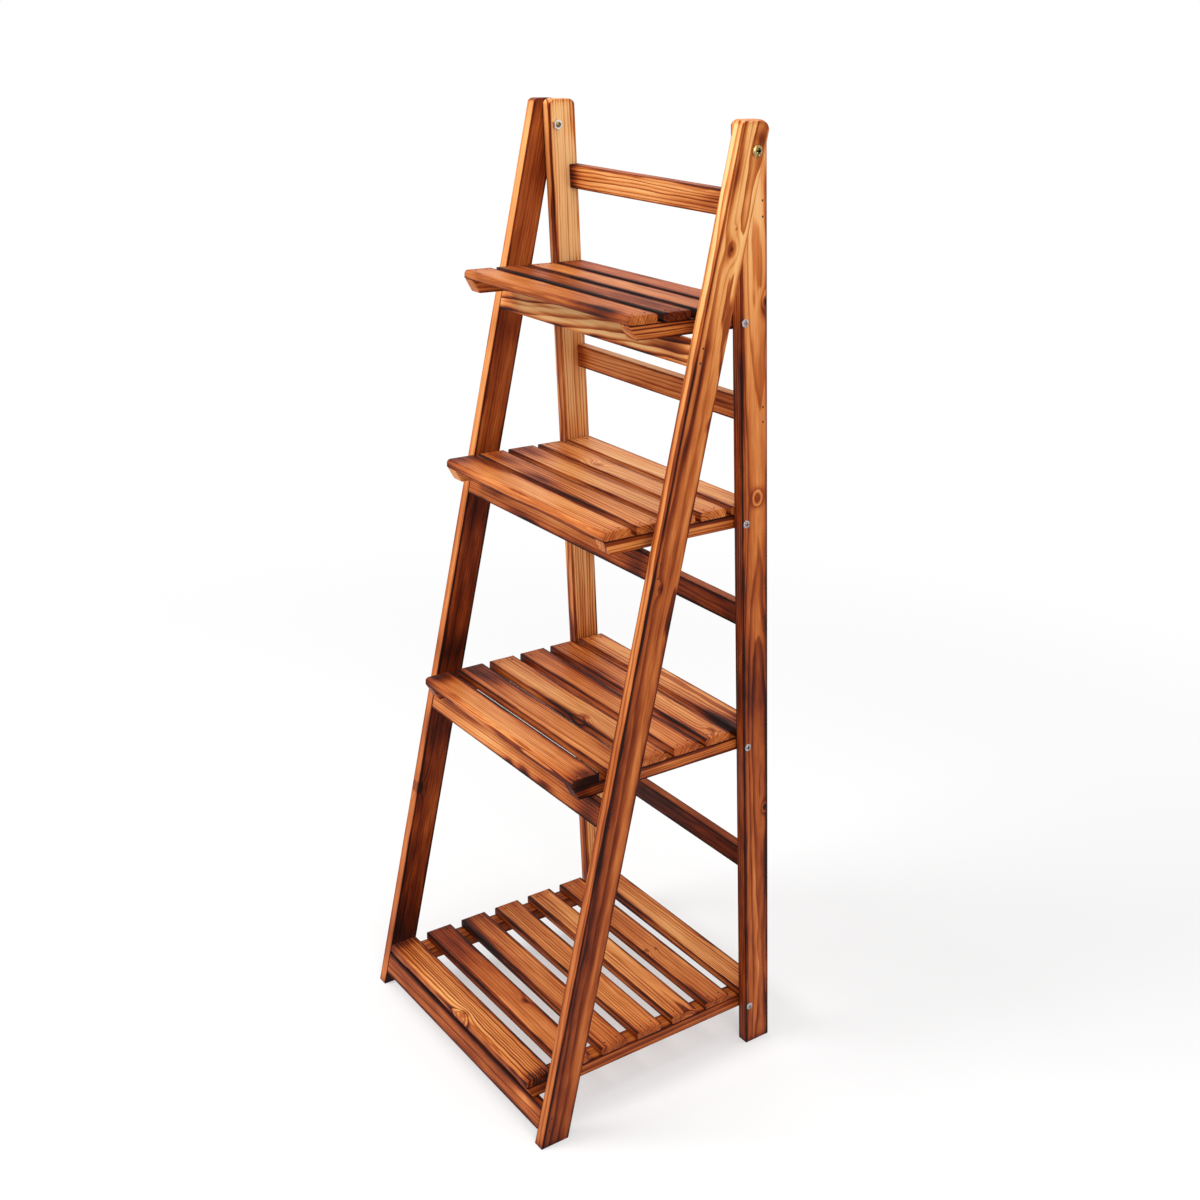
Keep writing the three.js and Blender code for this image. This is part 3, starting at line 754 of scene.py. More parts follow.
# The summer layer darkens slowly through the year and stops at once.
year = number(tree, "FRACT", years)
swell, stop = between(tree, year, 0.30, 0.84), between(tree, year, 0.88, 1.0, 1.0, 0.0)
line = number(tree, "MULTIPLY", swell, stop)
each = put(tree, "ShaderNodeTexWhiteNoise", {"noise_dimensions": "1D"},
           W=number(tree, "FLOOR", years)).outputs["Value"]
strength = number(tree, "MULTIPLY_ADD", each, 0.7, 0.5)
feed(tree, result["Late"], number(tree, "MULTIPLY", line, strength))
feed(tree, result["Ring"], each)
print(tree.name, "has", len(tree.nodes), "nodes")

# %% [markdown]
# The flame is the second group. On the real stand a burner was moved along the boards by hand. A
# single dark colour would lose that. The group starts from how long the flame stayed at a place,
# with the painted shade and light that ride on it, and breaks it up: broad patches, streaks that
# follow the grain, and a ragged dark rim along the edges, where thin wood heats fastest.

# %% Flame marks
PATCH_NOISE, LICK_NOISE = (6, 26, 3, 0.55), (9, 230, 3, 0.6)
BROKEN_NOISE, RAGGED_NOISE = (22, 120, 2), (16, 60, 3)
RIM_MOST, RIM_LEAST = 0.022, 0.0013

tree, given, result = new_group(
    "flame_marks",
    {"Grain": "v", "Burn": "f", "Rim": "f", "Figure": "f", "Patches": "f", "Streaks": "f",
     "Rim Strength": "f"},
    {"Heat": "f"},
)
flame_group = tree
patches = around(tree, stretched_noise(tree, given["Grain"], *PATCH_NOISE), 1.0)
patches = number(tree, "MULTIPLY", patches, given["Patches"])
licks = around(tree, stretched_noise(tree, given["Grain"], *LICK_NOISE), 1.0)
streaks = number(tree, "MULTIPLY", given["Streaks"], given["Figure"])
licks = number(tree, "MULTIPLY", licks, streaks)
broken = stretched_noise(tree, given["Grain"], *BROKEN_NOISE)
broken = number(tree, "MULTIPLY_ADD", broken, 0.7, 0.65)
ragged = number(tree, "POWER", stretched_noise(tree, given["Grain"], *RAGGED_NOISE), 3.0)
width = number(tree, "MULTIPLY_ADD", ragged, RIM_MOST, RIM_LEAST)
rim = between(tree, given["Rim"], 0.0, width, 1.0, 0.0)
rim = number(tree, "MULTIPLY", rim, given["Rim Strength"])
heat = number(tree, "MULTIPLY", given["Burn"], broken)
heat = number(tree, "ADD", heat, number(tree, "ADD", patches, licks))
feed(tree, result["Heat"], number(tree, "ADD", heat, rim))
print(tree.name, "has", len(tree.nodes), "nodes")

# %% [markdown]
# Toasted wood goes from pale honey, where the flame only passed, through orange and red-brown to
# near black. Every board could have a colour of its own, but then the boards would not look like
# one batch. So every wooden finish reads its colour from this one scale of heat. A tint turns it a
# little towards red or towards straw, because no two boards are alike.

# %% Toasted colours
TOAST = [
    (0.00, (0.92, 0.55, 0.240)),
    (0.12, (0.86, 0.43, 0.155)),
    (0.26, (0.72, 0.275, 0.078)),
    (0.40, (0.53, 0.148, 0.032)),
    (0.52, (0.36, 0.078, 0.0140)),
    (0.65, (0.21, 0.034, 0.0055)),
    (0.77, (0.108, 0.0135, 0.0022)),
    (0.89, (0.042, 0.0050, 0.0014)),
    (1.00, (0.012, 0.0026, 0.0012)),
]
UNBURNT = 0.12
REDDER, STRAW = (1.0, 0.80, 0.70), (0.97, 1.10, 1.05)

tree, given, result = new_group("toasted_colour", {"Heat": "f", "Tint": "f"}, {"Colour": "c"})
toast_group = tree
heat = number(tree, "MULTIPLY_ADD", given["Heat"], 1 - UNBURNT, UNBURNT)
scale = put(tree, "ShaderNodeValToRGB", Fac=heat)
ramp = scale.color_ramp
while len(ramp.elements) < len(TOAST):
    ramp.elements.new(0.5)
for element, (place, colour) in zip(ramp.elements, TOAST):
    element.position = place
    element.color = (*colour, 1)
red_share = between(tree, given["Tint"], 0.0, 1.0)
straw_share = between(tree, given["Tint"], -1.0, 0.0, 1.0, 0.0)
colour = mix_colours(tree, red_share, scale.outputs["Color"], REDDER, "MULTIPLY")
feed(tree, result["Colour"], mix_colours(tree, straw_share, colour, STRAW, "MULTIPLY"))
print(tree.name, "has", len(ramp.elements), "colours")

# %% [markdown]
# A knot is the foot of a branch. The rings flow round it, and its heart is dark. A knot could be a
# piece of its own, set into the board, but it is part of the same wood. So each knot is a place on
# the endless plank. A list says on which board it is, how far along and across it lies, and how
# large it is, in millimetres.

# %% Knots
KNOTS = [
    ("front_leg_right", 433, 0, 5.5), ("front_leg_right", 453, 0.5, 1.4),
    ("front_leg_right", 86, -6, 3.2),
    ("front_leg_left", -289, -15, 5), ("rear_leg_right", 366, 15, 3),
    ("rear_leg_right", 155, 3.5, 4.2), ("rear_leg_right", -226, 12, 2.8),
    ("shelf_2_slat_4", -48, -5, 5.5), ("shelf_3_slat_3", 35, -7, 5.5),
    ("shelf_3_slat_5", 142, 3, 4.5), ("shelf_4_slat_1", 14, -12, 5),
    ("shelf_4_slat_2", 33, 9, 4), ("shelf_4_slat_6", 31, -11, 2.8),
    ("shelf_4_slat_6", 34, 1, 2.2),
]
# A knot is longer along the grain than across it, so its distance counts less that way.
KNOT_DRAWN = 0.62
# The rings are pushed most at its heart, and the push falls off with the distance squared.
SWELL_FALL, SWELL_RADII = -0.28, 1.3


def knot_group():
    """A node group that bends the rings round every knot in the list and darkens its heart."""
    tree, given, result = new_group("knots", {"Grain": "v"}, {"Bend": "f", "Heart": "f"})
    bend, heart = 0.0, 0.0
    for name, *sizes in KNOTS:
        along, across, radius = (value * MM for value in sizes)
        entry = board_entry(name)
        centre = (SPACING * (entry["number"] + 1) + along, across, 0)
        offset = vector(tree, "SUBTRACT", given["Grain"], centre).outputs[0]
        in_radii = (KNOT_DRAWN / radius, 1 / radius, 0)
        offset = vector(tree, "MULTIPLY", offset, in_radii).outputs[0]
        far = vector(tree, "LENGTH", offset).outputs["Value"]
        fall = number(tree, "MULTIPLY", number(tree, "POWER", far, 2.0), SWELL_FALL)
        push = radius * SWELL_RADII / (entry["ring"] * MM)
        bend = number(tree, "MULTIPLY_ADD", number(tree, "EXPONENT", fall), push, bend)
        brown = between(tree, far, 0.75, 1.2, 0.55, 0.0)
        black = between(tree, far, 0.12, 0.45, 0.6, 0.0)
        heart = number(tree, "MAXIMUM", number(tree, "ADD", brown, black), heart)
    feed(tree, result["Bend"], bend)
    feed(tree, result["Heart"], heart)
    return tree


knots = knot_group()
print("knots:", len(KNOTS), "in", len(knots.nodes), "nodes")

# %% [markdown]
# The finish of a board puts the groups together. On the real stand the burnt summer lines stand a
# little proud, because the soft wood between them is brushed away. That relief is too fine to be
# worth a mesh, so the same lines drive a bump. The lacquer is satin: a thin clear coat, with
# charred places duller than pale ones. Legs, bars, slats and battens share the recipe, and differ
# in how far the rings waver and how strongly the flame marks them.

# %% The wood finish
FIBRE_NOISE = (40, 900, 2, 0.6)
YEAR_SHADES, FIBRE_SHADES, KNOT_SHADE = 0.07, 0.16, 0.36
PALE_ROUGH, CHARRED_ROUGH, FIBRE_ROUGH = 0.40, 0.58, 0.12
FIBRE_HEIGHT = 0.7
LACQUER = {"Specular IOR Level": 0.10, "Coat Weight": 0.02, "Coat Roughness": 0.25}


def wood_finish(name, waver, patches, streaks, rim_strength):
    """A flame-darkened softwood material with values of its own."""
    material, tree = new_material(name)

    def read(title, output="Fac"):
        return put(tree, "ShaderNodeAttribute", {"attribute_name": title}).outputs[output]

    def use(group, **sockets):
        return put(tree, "ShaderNodeGroup", {"node_tree": group}, **sockets)

    grain, figure = read("grain", "Vector"), read("figure")
    knot = use(knots, Grain=grain)
    rings = use(ring_group, Grain=grain, Pith=read("pith", "Vector"), Waver=waver,
                Bend=knot.outputs["Bend"])
    # The darkening read here is the flame's, with painted shade and light in it.
    flame = use(flame_group, Grain=grain, Burn=read("burn"), Rim=read("rim"), Figure=figure,
                Patches=patches, Streaks=streaks, Rim_Strength=rim_strength)
    fibre = stretched_noise(tree, grain, *FIBRE_NOISE)
    late = rings.outputs["Late"]
    heat = number(tree, "MULTIPLY_ADD", late, figure, flame.outputs["Heat"])
    heat = number(tree, "ADD", heat, around(tree, rings.outputs["Ring"], YEAR_SHADES))
    heat = number(tree, "ADD", heat, around(tree, fibre, FIBRE_SHADES))
    heat = number(tree, "MULTIPLY_ADD", knot.outputs["Heart"], KNOT_SHADE, heat)
    colour = use(toast_group, Heat=heat, Tint=read("tint")).outputs["Colour"]
    rough = between(tree, heat, 0.1, 1.0, PALE_ROUGH, CHARRED_ROUGH)
    rough = number(tree, "ADD", rough, around(tree, fibre, FIBRE_ROUGH))
    height = number(tree, "ADD", late, around(tree, fibre, FIBRE_HEIGHT))
    bump = put(tree, "ShaderNodeBump", Strength=0.5, Distance=0.0002, Height=height)
    shader = put(tree, "ShaderNodeBsdfPrincipled", Base_Color=colour, Roughness=rough,
                 Normal=bump.outputs["Normal"])
    for title, value in LACQUER.items():
        shader.inputs[title].default_value = value
    finish_with(tree, shader)
    return material


FINISHES = {
    "leg": wood_finish("leg_wood", waver=2.6, patches=0.34, streaks=1.15, rim_strength=0.34),
    "bar": wood_finish("bar_wood", waver=3.0, patches=0.34, streaks=1.3, rim_strength=0.34),
    "slat": wood_finish("slat_wood", waver=2.6, patches=0.32, streaks=1.5, rim_strength=0.42),
    "batten": wood_finish("batten_wood", waver=2.6, patches=0.32, streaks=1.2, rim_strength=0.34),
}
print("wooden finishes:", [finish.name for finish in FINISHES.values()])

# %% [markdown]
# A board has to lie exactly where its plain solid does. Its sizes could be typed in again, but
# they would be wrong after the next change of the frame, so they are measured. The two ladder
# frames lean. Their boards are measured along the lean: the solid's points are turned upright, and
# the box round them is the board's size.

# %% Boards from the frame's solids
FRONT_LEAN = math.radians(-11.3)
REAR_LEAN = math.radians(4.2)
AXES = {"slat": (0, 1, 2), "rung": (0, 2, 1), "rail": (0, 2, 1), "leg": (2, 1, 0),
        "batten": (1, 0, 2)}


def solid_points(name):
    """The points of one of the frame's solids, in metres."""
    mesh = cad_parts[name].data
    points = np.empty(len(mesh.vertices) * 3)
    mesh.vertices.foreach_get("co", points)
    return points.reshape(-1, 3)


def board_place(name):
    """Half sizes, turn and centre of the board that a solid stands for."""
    lean = FRONT_LEAN if name.startswith("front") else REAR_LEAN if name.startswith("rear") else 0
    upright = np.array(Matrix.Rotation(lean, 3, "X"))
    points = solid_points(name) @ upright
    low, high = points.min(0), points.max(0)
    order = AXES[next(kind for kind in AXES if kind in name)]
    turn = np.zeros((3, 3))
    for column, axis in enumerate(order):
        turn[axis, column] = 1
    turn = upright @ turn
    if np.linalg.det(turn) < 0:
        turn[:, 2] *= -1
    centre = upright @ ((low + high) / 2)
    half = ((high - low) / 2)[list(order)]
    return half, turn, centre


for name in ("rear_leg_left", "front_rung_1", "shelf_1_slat_1", "shelf_1_batten_left"):
    print(name, "half sizes in mm", np.round(board_place(name)[0] * 1000, 2))

# %% [markdown]
# The legs' feet and tops are sawn level, so on a leaning leg they are slanting cuts, and the tops'
# two corners are rounded off. The battens' front ends are cut at a slant. All that could be cut
# away with solids, but a cut mesh loses its even points. So the last few centimetres of a board
# are drawn out or pushed in, until its end lies where the cut does.

# %% Cut ends
HEIGHT = 1.09
TOP_ROUNDS = {"front": (0.005, 0.011), "rear": (0.008, 0.007)}
BATTEN_SLANT = 0.009


def leg_ends(name, half, turn, centre):
    """How far a leg's foot and top reach along the leg, at each place across it."""
    front, back = TOP_ROUNDS[name.split("_")[0]]

    def level(across, height):
        return (height - centre[2] - across * turn[2, 1]) / turn[2, 0]

    def foot(across, through):
        return level(across, 0) + half[0]

    def top(across, through):
        drop = np.zeros_like(across)
        for sign, radius in ((-1, front), (1, back)):
            into = np.clip(radius - (half[1] - sign * across), 0, radius)
            drop += radius - np.sqrt(np.maximum(radius ** 2 - into ** 2, 0))
        return level(across, HEIGHT) - half[0] - drop

    return foot, top


def batten_end(half):
    """How far a batten's slanting front end is pushed in, from its lower to its upper face."""
    def slant(across, through):
        return BATTEN_SLANT * (through + half[2]) / (2 * half[2])

    return slant


leg_place = board_place("front_leg_left")
foot, top = leg_ends("front_leg_left", *leg_place)
edges = np.array([-1, 1]) * leg_place[0][1]
print("the front legs' feet are pushed in by", np.round(foot(edges, 0) * 1000, 1), "mm")

# %% [markdown]
# Legs, rungs, rails and battens are 20 boards of several sizes and cuts. They could be joined into
# one mesh for each body, but a part library is easier to use with one piece for one board. So each
# takes the place of its own solid and moves with that solid's body. The slats are left for the
# next step, because they repeat.

# %% Single boards
def stand_in_for(made, names, body):
    """The piece takes the place of solids, and moves with their body."""
    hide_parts(*names)
    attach(made, body)


def shade_smooth(mesh):
    """Shades all faces of a mesh smooth."""
    mesh.polygons.foreach_set("use_smooth", np.ones(len(mesh.polygons), bool))


def board_object(name, finish):
    """A board in place of one solid, with its attributes."""
    half, turn, centre = board_place(name)
    cuts = {}
    if "leg" in name:
        cuts["cut_low"], cuts["cut_high"] = leg_ends(name, half, turn, centre)
    if "batten" in name:
        cuts["cut_low"] = batten_end(half)
    points, quads = board_shape(half, **cuts)
    made = mesh_object("board_" + name, points @ turn.T + centre, quads)
    set_values(made.data, board_values(name, points, half))
    shade_smooth(made.data)
    made.data.materials.append(finish)
    return made


single = [name for name in names if "slat" not in name]
for name in single:
    kind = "leg" if "leg" in name else "batten" if "batten" in name else "bar"
    body = name[:len("shelf_1")] if "batten" in name else name.split("_")[0] + "_frame"
    stand_in_for(board_object(name, FINISHES[kind]), [name], body)
print("single boards made:", len(single))

# %% [markdown]
# Slats, brads, screws and bolts are copies of a few shapes. A loop could copy meshes one by one.
# Geometry Nodes do it in one tree that can be read and changed as a drawing, so they are used
# here. Two helpers begin and end such a tree, and a third runs it on an object and keeps the
# result as a plain mesh.

# %% Layout trees
def new_layout(name, inputs):
    """A Geometry Nodes tree with a geometry input and output and the named inputs given."""
    tree = bpy.data.node_groups.new(name, "GeometryNodeTree")
    for way in ("OUTPUT", "INPUT"):
        tree.interface.new_socket("Geometry", in_out=way, socket_type="NodeSocketGeometry")
    for title, kind in inputs.items():
        tree.interface.new_socket(title, in_out="INPUT", socket_type="NodeSocket" + kind)
    return tree, put(tree, "NodeGroupInput").outputs, put(tree, "NodeGroupOutput").inputs


def end_layout(tree, rows, given, result):
    """Makes the copies real, gives them the Finish input as their material, and ends the tree."""
    real = put(tree, "GeometryNodeRealizeInstances", Geometry=rows.outputs[0])
    done = put(tree, "GeometryNodeSetMaterial", Geometry=real.outputs[0], Material=given["Finish"])
    feed(tree, result["Geometry"], done.outputs[0])
    print(tree.name, "has", len(tree.nodes), "nodes")


def run_layout(made, tree, **values):
    """Runs a tree on an object and keeps the result as its plain mesh."""
    modifier = made.modifiers.new("layout", "NODES")
    modifier.node_group = tree
    for item in tree.interface.items_tree:
        if item.in_out == "INPUT" and item.name.replace(" ", "_") in values:
            modifier[item.identifier] = values[item.name.replace(" ", "_")]
    graph = bpy.context.evaluated_depsgraph_get()
    mesh = bpy.data.meshes.new_from_object(made.evaluated_get(graph))
    made.modifiers.clear()
    made.data = mesh
    return made


print("shelves to lay out:", {f"shelf_{k}": f"{n} slats" for k, n in SHELF_SLATS.items()})

# %% [markdown]
# A shelf's slats lie side by side with even gaps. An array modifier would copy one slat, but the
# first slat has a rounded nose. So the tree makes a row of points and puts a slat on each, and
# takes the first one from an object of its own. Each slat keeps its number and the places inside
# it, and the grain is worked out from those afterwards.

# %% Slat row tree
row_tree, given, result = new_layout("slat_row", {
    "Front Slat": "Object", "Count": "Int", "First": "Vector", "Step": "Vector",
    "Finish": "Material"})
tree = row_tree
front = put(tree, "GeometryNodeObjectInfo", Object=given["Front Slat"]).outputs["Geometry"]
either = put(tree, "GeometryNodeJoinGeometry")
for shape in (given["Geometry"], front):
    keep = put(tree, "GeometryNodeStoreNamedAttribute", {"data_type": "FLOAT_VECTOR"},
               Geometry=shape, Name="place",
               Value=put(tree, "GeometryNodeInputPosition").outputs[0])
    alone = put(tree, "GeometryNodeGeometryToInstance", Geometry=keep.outputs[0])
    tree.links.new(alone.outputs[0], either.inputs[0])
line = put(tree, "GeometryNodeMeshLine", Count=given["Count"], Start_Location=given["First"],
           Offset=given["Step"])
index = put(tree, "GeometryNodeInputIndex").outputs[0]
row = put(tree, "GeometryNodeInstanceOnPoints", Points=line.outputs[0],
          Instance=either.outputs[0], Pick_Instance=True,
          Instance_Index=number(tree, "MINIMUM", index, 1))
tagged = put(tree, "GeometryNodeStoreNamedAttribute", {"data_type": "INT", "domain": "INSTANCE"},
             Geometry=row.outputs[0], Name="board", Value=index)
end_layout(tree, tagged, given, result)

# %% [markdown]
# Each shelf lays its slats across two battens, from the front edge to the back, with even gaps.
# They could be single pieces like the other boards. But a shelf's slats always move together, so
# one piece for each shelf is simpler. The step is measured between the first two solids. Every
# slat then gets the values of its own board, so that no two of them look alike.

# %% The slats of each shelf
def read_values(mesh, title, width):
    """An attribute of a mesh's points: whole numbers where width is 1, else rows of that width."""
    flat = np.empty(len(mesh.vertices) * width, np.float32 if width > 1 else np.int32)
    mesh.attributes[title].data.foreach_get("vector" if width > 1 else "value", flat)
    return flat.reshape(-1, width) if width > 1 else flat


slat_half = board_place("shelf_1_slat_2")[0]
front_slat = mesh_object("front_slat", *board_shape(slat_half, nose=SLAT_NOSE))
for shelf, count in SHELF_SLATS.items():
    slats = [f"shelf_{shelf}_slat_{k}" for k in range(1, count + 1)]
    first, second = (board_place(slat)[2] for slat in slats[:2])
    row = mesh_object(f"slats_of_shelf_{shelf}", *board_shape(slat_half))
    run_layout(row, row_tree, Front_Slat=front_slat, Count=count, First=tuple(first),
               Step=tuple(second - first), Finish=FINISHES["slat"])
    board, place = read_values(row.data, "board", 1), read_values(row.data, "place", 3)
    values = {}
    for k, slat in enumerate(slats):
        for key, data in board_values(slat, place, slat_half).items():
            values.setdefault(key, np.zeros_like(data))
            values[key][board == k] = data[board == k]
    set_values(row.data, values)
    shade_smooth(row.data)
    stand_in_for(row, slats, f"shelf_{shelf}")
    print(row.name, len(row.data.polygons), "faces in", len(np.bincount(board)), "slats")
bpy.data.objects.remove(front_slat)

# %% [markdown]
# Brads, screws and bolts are turned shapes. Ready-made cylinders have no domed ends, so one
# helper spins a profile round an axis and closes it at both ends. The cross in a screw's head
# isn't round. A second helper presses it into the finished head, by lowering the points inside two
# crossing slots, which keeps the mesh closed.

# %% Turned shapes
HALF_SLOT = 0.13


def turned_shape(profile, segments):
    """Points and faces of a closed shape spun round Z. profile starts and ends on the axis."""
    angles = np.arange(segments) * 2 * np.pi / segments
    rings = [np.stack([r * np.cos(angles), r * np.sin(angles), np.full(segments, z)], 1)
             for r, z in profile[1:-1]]
    points = np.concatenate([[(0, 0, profile[0][1])], *rings, [(0, 0, profile[-1][1])]])
    last = len(points) - 1
    faces = []
    for k in range(segments):
        after = (k + 1) % segments
        faces.append((0, 1 + k, 1 + after))
        for ring in range(len(rings) - 1):
            upper, lower = 1 + ring * segments, 1 + (ring + 1) * segments
            faces.append((upper + k, lower + k, lower + after, upper + after))
        base = 1 + (len(rings) - 1) * segments
        faces.append((base + k, last, base + after))
    return points, faces


def press_cross(points, head, reach, above, floor):
    """Lowers to floor what lies higher than above in two slots, reach of the head's radius long."""
    for long_way, short_way in ((0, 1), (1, 0)):
        inside = np.abs(points[:, long_way]) < reach * head
        inside &= np.abs(points[:, short_way]) < HALF_SLOT * head
        inside &= points[:, 2] > above
        points[inside, 2] = floor


cone = turned_shape([(0, 0.003), (0.004, 0), (0, -0.003)], 12)
print("a double cone with 12 sides has", len(cone[0]), "points and", len(cone[1]), "faces")

# %% [markdown]
# A shelf screw has a low domed head with a cross slot, which stands a hair out of the wood, and a
# brad has a small domed head. Their threads could be cut too, but they are out of sight inside the
# wood, so the shanks are plain. Where a slot is pressed in, the profile has more steps, so that the
# slot's walls come out steep.

# %% Screw and brad
SCREW_SIDES, BRAD_SIDES = 48, 12
SLOT_STEPS = (0, 0.06, 0.12, 0.18, 0.24, 0.30, 0.37, 0.44, 0.51, 0.58)


def screw_shape(head=0.0043, shank=0.002, length=0.026, rise=0.0009, depth=0.0006):
    """A cross-head screw. Its head stands a hair out of the wood at z = 0, the shank goes down."""
    steps = np.array([*SLOT_STEPS, 0.70, 0.82, 0.92, 0.98])
    profile = [(head * t, rise * (1 - 0.75 * t ** 3)) for t in steps]
    profile += [(head, 0.0001), (head, -0.0002), (shank, -0.0024), (shank, 0.004 - length),
                (0, -length)]
    points, faces = turned_shape(profile, SCREW_SIDES)
    press_cross(points, head, reach=0.58, above=0, floor=-depth)
    return points, faces


def brad_shape(radius=0.0012, rise=0.00035):
    """A low domed brad head with a short foot in the wood."""
    profile = [(0, rise), (0.5 * radius, 0.9 * rise), (0.85 * radius, 0.5 * rise), (radius, 0),
               (0.9 * radius, -rise), (0, -2 * rise)]
    return turned_shape(profile, BRAD_SIDES)


print("screw faces:", len(screw_shape()[1]), "brad faces:", len(brad_shape()[1]))

# %% [markdown]
# There are 120 brads, eight screws and two bolts. They could be copied one by one, but then each
# kind would need a loop of its own. One layout tree serves them all: it puts a shape on each point
# and turns it to face the way that the point's facing attribute says.

# %% Fastener tree
fastener_tree, given, result = new_layout(
    "fasteners", {"Shape": "Object", "Size": "Float", "Finish": "Material"})
tree = fastener_tree
shape = put(tree, "GeometryNodeObjectInfo", Object=given["Shape"]).outputs["Geometry"]
facing = put(tree, "GeometryNodeInputNamedAttribute", {"data_type": "FLOAT_VECTOR"}, Name="facing")
turned = put(tree, "FunctionNodeAlignRotationToVector", {"axis": "Z"}, Vector=facing.outputs[0])
heads = put(tree, "GeometryNodeInstanceOnPoints", Points=given["Geometry"], Instance=shape,
            Rotation=turned.outputs[0], Scale=given["Size"])
end_layout(tree, heads, given, result)

# %% [markdown]
# Metal that has been handled is never even. One plain colour would look like plastic. A painted
# picture would need a flat layout, so a node group makes the marks: fine scratches, drawn out one
# way, and dull blotches. It reads Object coordinates, so they stay where they are on each piece.

# %% Handled metal
BLOTCH_SIZE = 420.0
SCRATCH_SIZES = (700, 5200, 900)
# The colour of the painted shade in the heads' slots, also used on a long shank's darker end.
SLOT_SHADE_AND_END_COLOUR = (0.012, 0.009, 0.007)

tree, given, result = new_group(
    "handled_metal",
    {"Place": "v", "Scratches": "f", "Blotches": "f"},
    {"Wear": "f", "Height": "f"},
)
metal_group = tree
blotch = put(tree, "ShaderNodeTexNoise", Vector=given["Place"], Scale=BLOTCH_SIZE, Detail=3.0)
drawn = vector(tree, "MULTIPLY", given["Place"], SCRATCH_SIZES).outputs[0]
scratch = put(tree, "ShaderNodeTexNoise", Vector=drawn, Scale=1.0, Detail=2.0)
scratch = between(tree, scratch.outputs["Fac"], 0.52, 0.72)
scratch = number(tree, "MULTIPLY", scratch, given["Scratches"])
blotch = between(tree, blotch.outputs["Fac"], 0.35, 0.68)
blotch = number(tree, "MULTIPLY", blotch, given["Blotches"])
feed(tree, result["Wear"], number(tree, "ADD", scratch, blotch, clamp=True))
feed(tree, result["Height"], scratch)
print(tree.name, "has", len(tree.nodes), "nodes")

# %% [markdown]
# The stand has four metals: bright zinc screws and washers, yellow-plated bolts, nickel nuts and
# dark steel brads. Four trees could be built by hand, but they differ only in their values, so one
# function makes them all. The slots of the heads are darkened as painted shade, and the end of a
# long shank is darkened too; an attribute says where.

# %% The four metals
def metal_finish(name, bright, dull, scratches, blotches, smooth, rough):
    """A metal whose worn places are duller and darker than its bright ones."""
    material, tree = new_material(name)
    place = put(tree, "ShaderNodeTexCoord").outputs["Object"]
    worn = put(tree, "ShaderNodeGroup", {"node_tree": metal_group}, Place=place,
               Scratches=scratches, Blotches=blotches)
    wear = worn.outputs["Wear"]
    # Painted shade in the head's slots, and a darker shank end, read from an attribute.
    slot_shade_and_dark_end = put(tree, "ShaderNodeAttribute", {"attribute_name": "slot_shade_and_dark_end"}).outputs["Fac"]
    colour = mix_colours(tree, slot_shade_and_dark_end, mix_colours(tree, wear, bright, dull), SLOT_SHADE_AND_END_COLOUR)
    bump = put(tree, "ShaderNodeBump", Strength=0.3, Distance=0.00004,
               Height=worn.outputs["Height"])
    shader = put(tree, "ShaderNodeBsdfPrincipled", Base_Color=colour, Metallic=1.0,
                 Roughness=between(tree, wear, 0.0, 1.0, smooth, rough),
                 Normal=bump.outputs["Normal"])
    finish_with(tree, shader)
    return material


screw_finish = metal_finish("screw_zinc", bright=(0.56, 0.57, 0.59), dull=(0.16, 0.165, 0.18),
                            scratches=0.6, blotches=0.8, smooth=0.26, rough=0.5)
bolt_finish = metal_finish("bolt_yellow", bright=(0.70, 0.50, 0.20), dull=(0.13, 0.085, 0.035),
                           scratches=0.6, blotches=1.0, smooth=0.16, rough=0.40)
nut_finish = metal_finish("nut_nickel", bright=(0.84, 0.82, 0.78), dull=(0.34, 0.29, 0.22),
                          scratches=0.5, blotches=0.5, smooth=0.22, rough=0.4)
brad_finish = metal_finish("brad_dark", bright=(0.10, 0.07, 0.055), dull=(0.035, 0.022, 0.016),
                           scratches=0.5, blotches=0.8, smooth=0.4, rough=0.7)
PIVOT_FINISHES = {"bolt": bolt_finish, "nut": nut_finish, "washer": screw_finish}
pivots = [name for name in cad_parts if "pivot" in name]
for name in pivots:
    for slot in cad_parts[name].material_slots:
        slot.material = PIVOT_FINISHES[name.split("_")[1]]
print("pivot pieces:", len(pivots))

# %% [markdown]
# Brads hold the stand together: two through a leg into each end of a rung or rail, and two at each
# end of a slat. On the real stand they are small dark dots. Dots in the finish would do from
# afar, but close up a domed head catches the light. So each one is a small dome. The slats' brads
# are not quite in line, as a hand places them.

# %% Places of the brads
# For each frame, the bars that its brads hold, and half the distance between two brads.
BAR_BRADS = {"front": ("front_rung", 0.0075), "rear": ("rear_rail", 0.008)}
SLAT_BRAD_INSET, SLAT_BRAD_SPREAD = 0.009, 0.008
UNEVEN_ALONG, UNEVEN_ACROSS = 0.002, 0.0015


def leg_brads(bar, leg, spread):
    """Two brads through a leg into the end of a bar. The leg's outer face is found from its box."""
    direction = board_place(leg)[1][:, 0]
    centre = board_place(bar)[2]
    low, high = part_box(leg)
    side = -1 if "left" in leg else 1
    outer = low[0] if side < 0 else high[0]
    spots = [centre + shift * direction for shift in (-spread, spread)]
    return [((outer, *spot[1:]), (side, 0, 0)) for spot in spots]


def slat_brads(slat, rng):
    """Brads at both ends of a slat, two at each, not quite in line, as a hand places them."""
    half, turn, centre = board_place(slat)
    places = []
    for side in (-1, 1):
        for shift in (-SLAT_BRAD_SPREAD, SLAT_BRAD_SPREAD):
            x = side * (half[0] - SLAT_BRAD_INSET + rng.uniform(-UNEVEN_ALONG, UNEVEN_ALONG))
            y = shift + rng.uniform(-UNEVEN_ACROSS, UNEVEN_ACROSS)
            places.append(((x, centre[1] + y, centre[2] + half[2]), (0, 0, 1)))
    return places


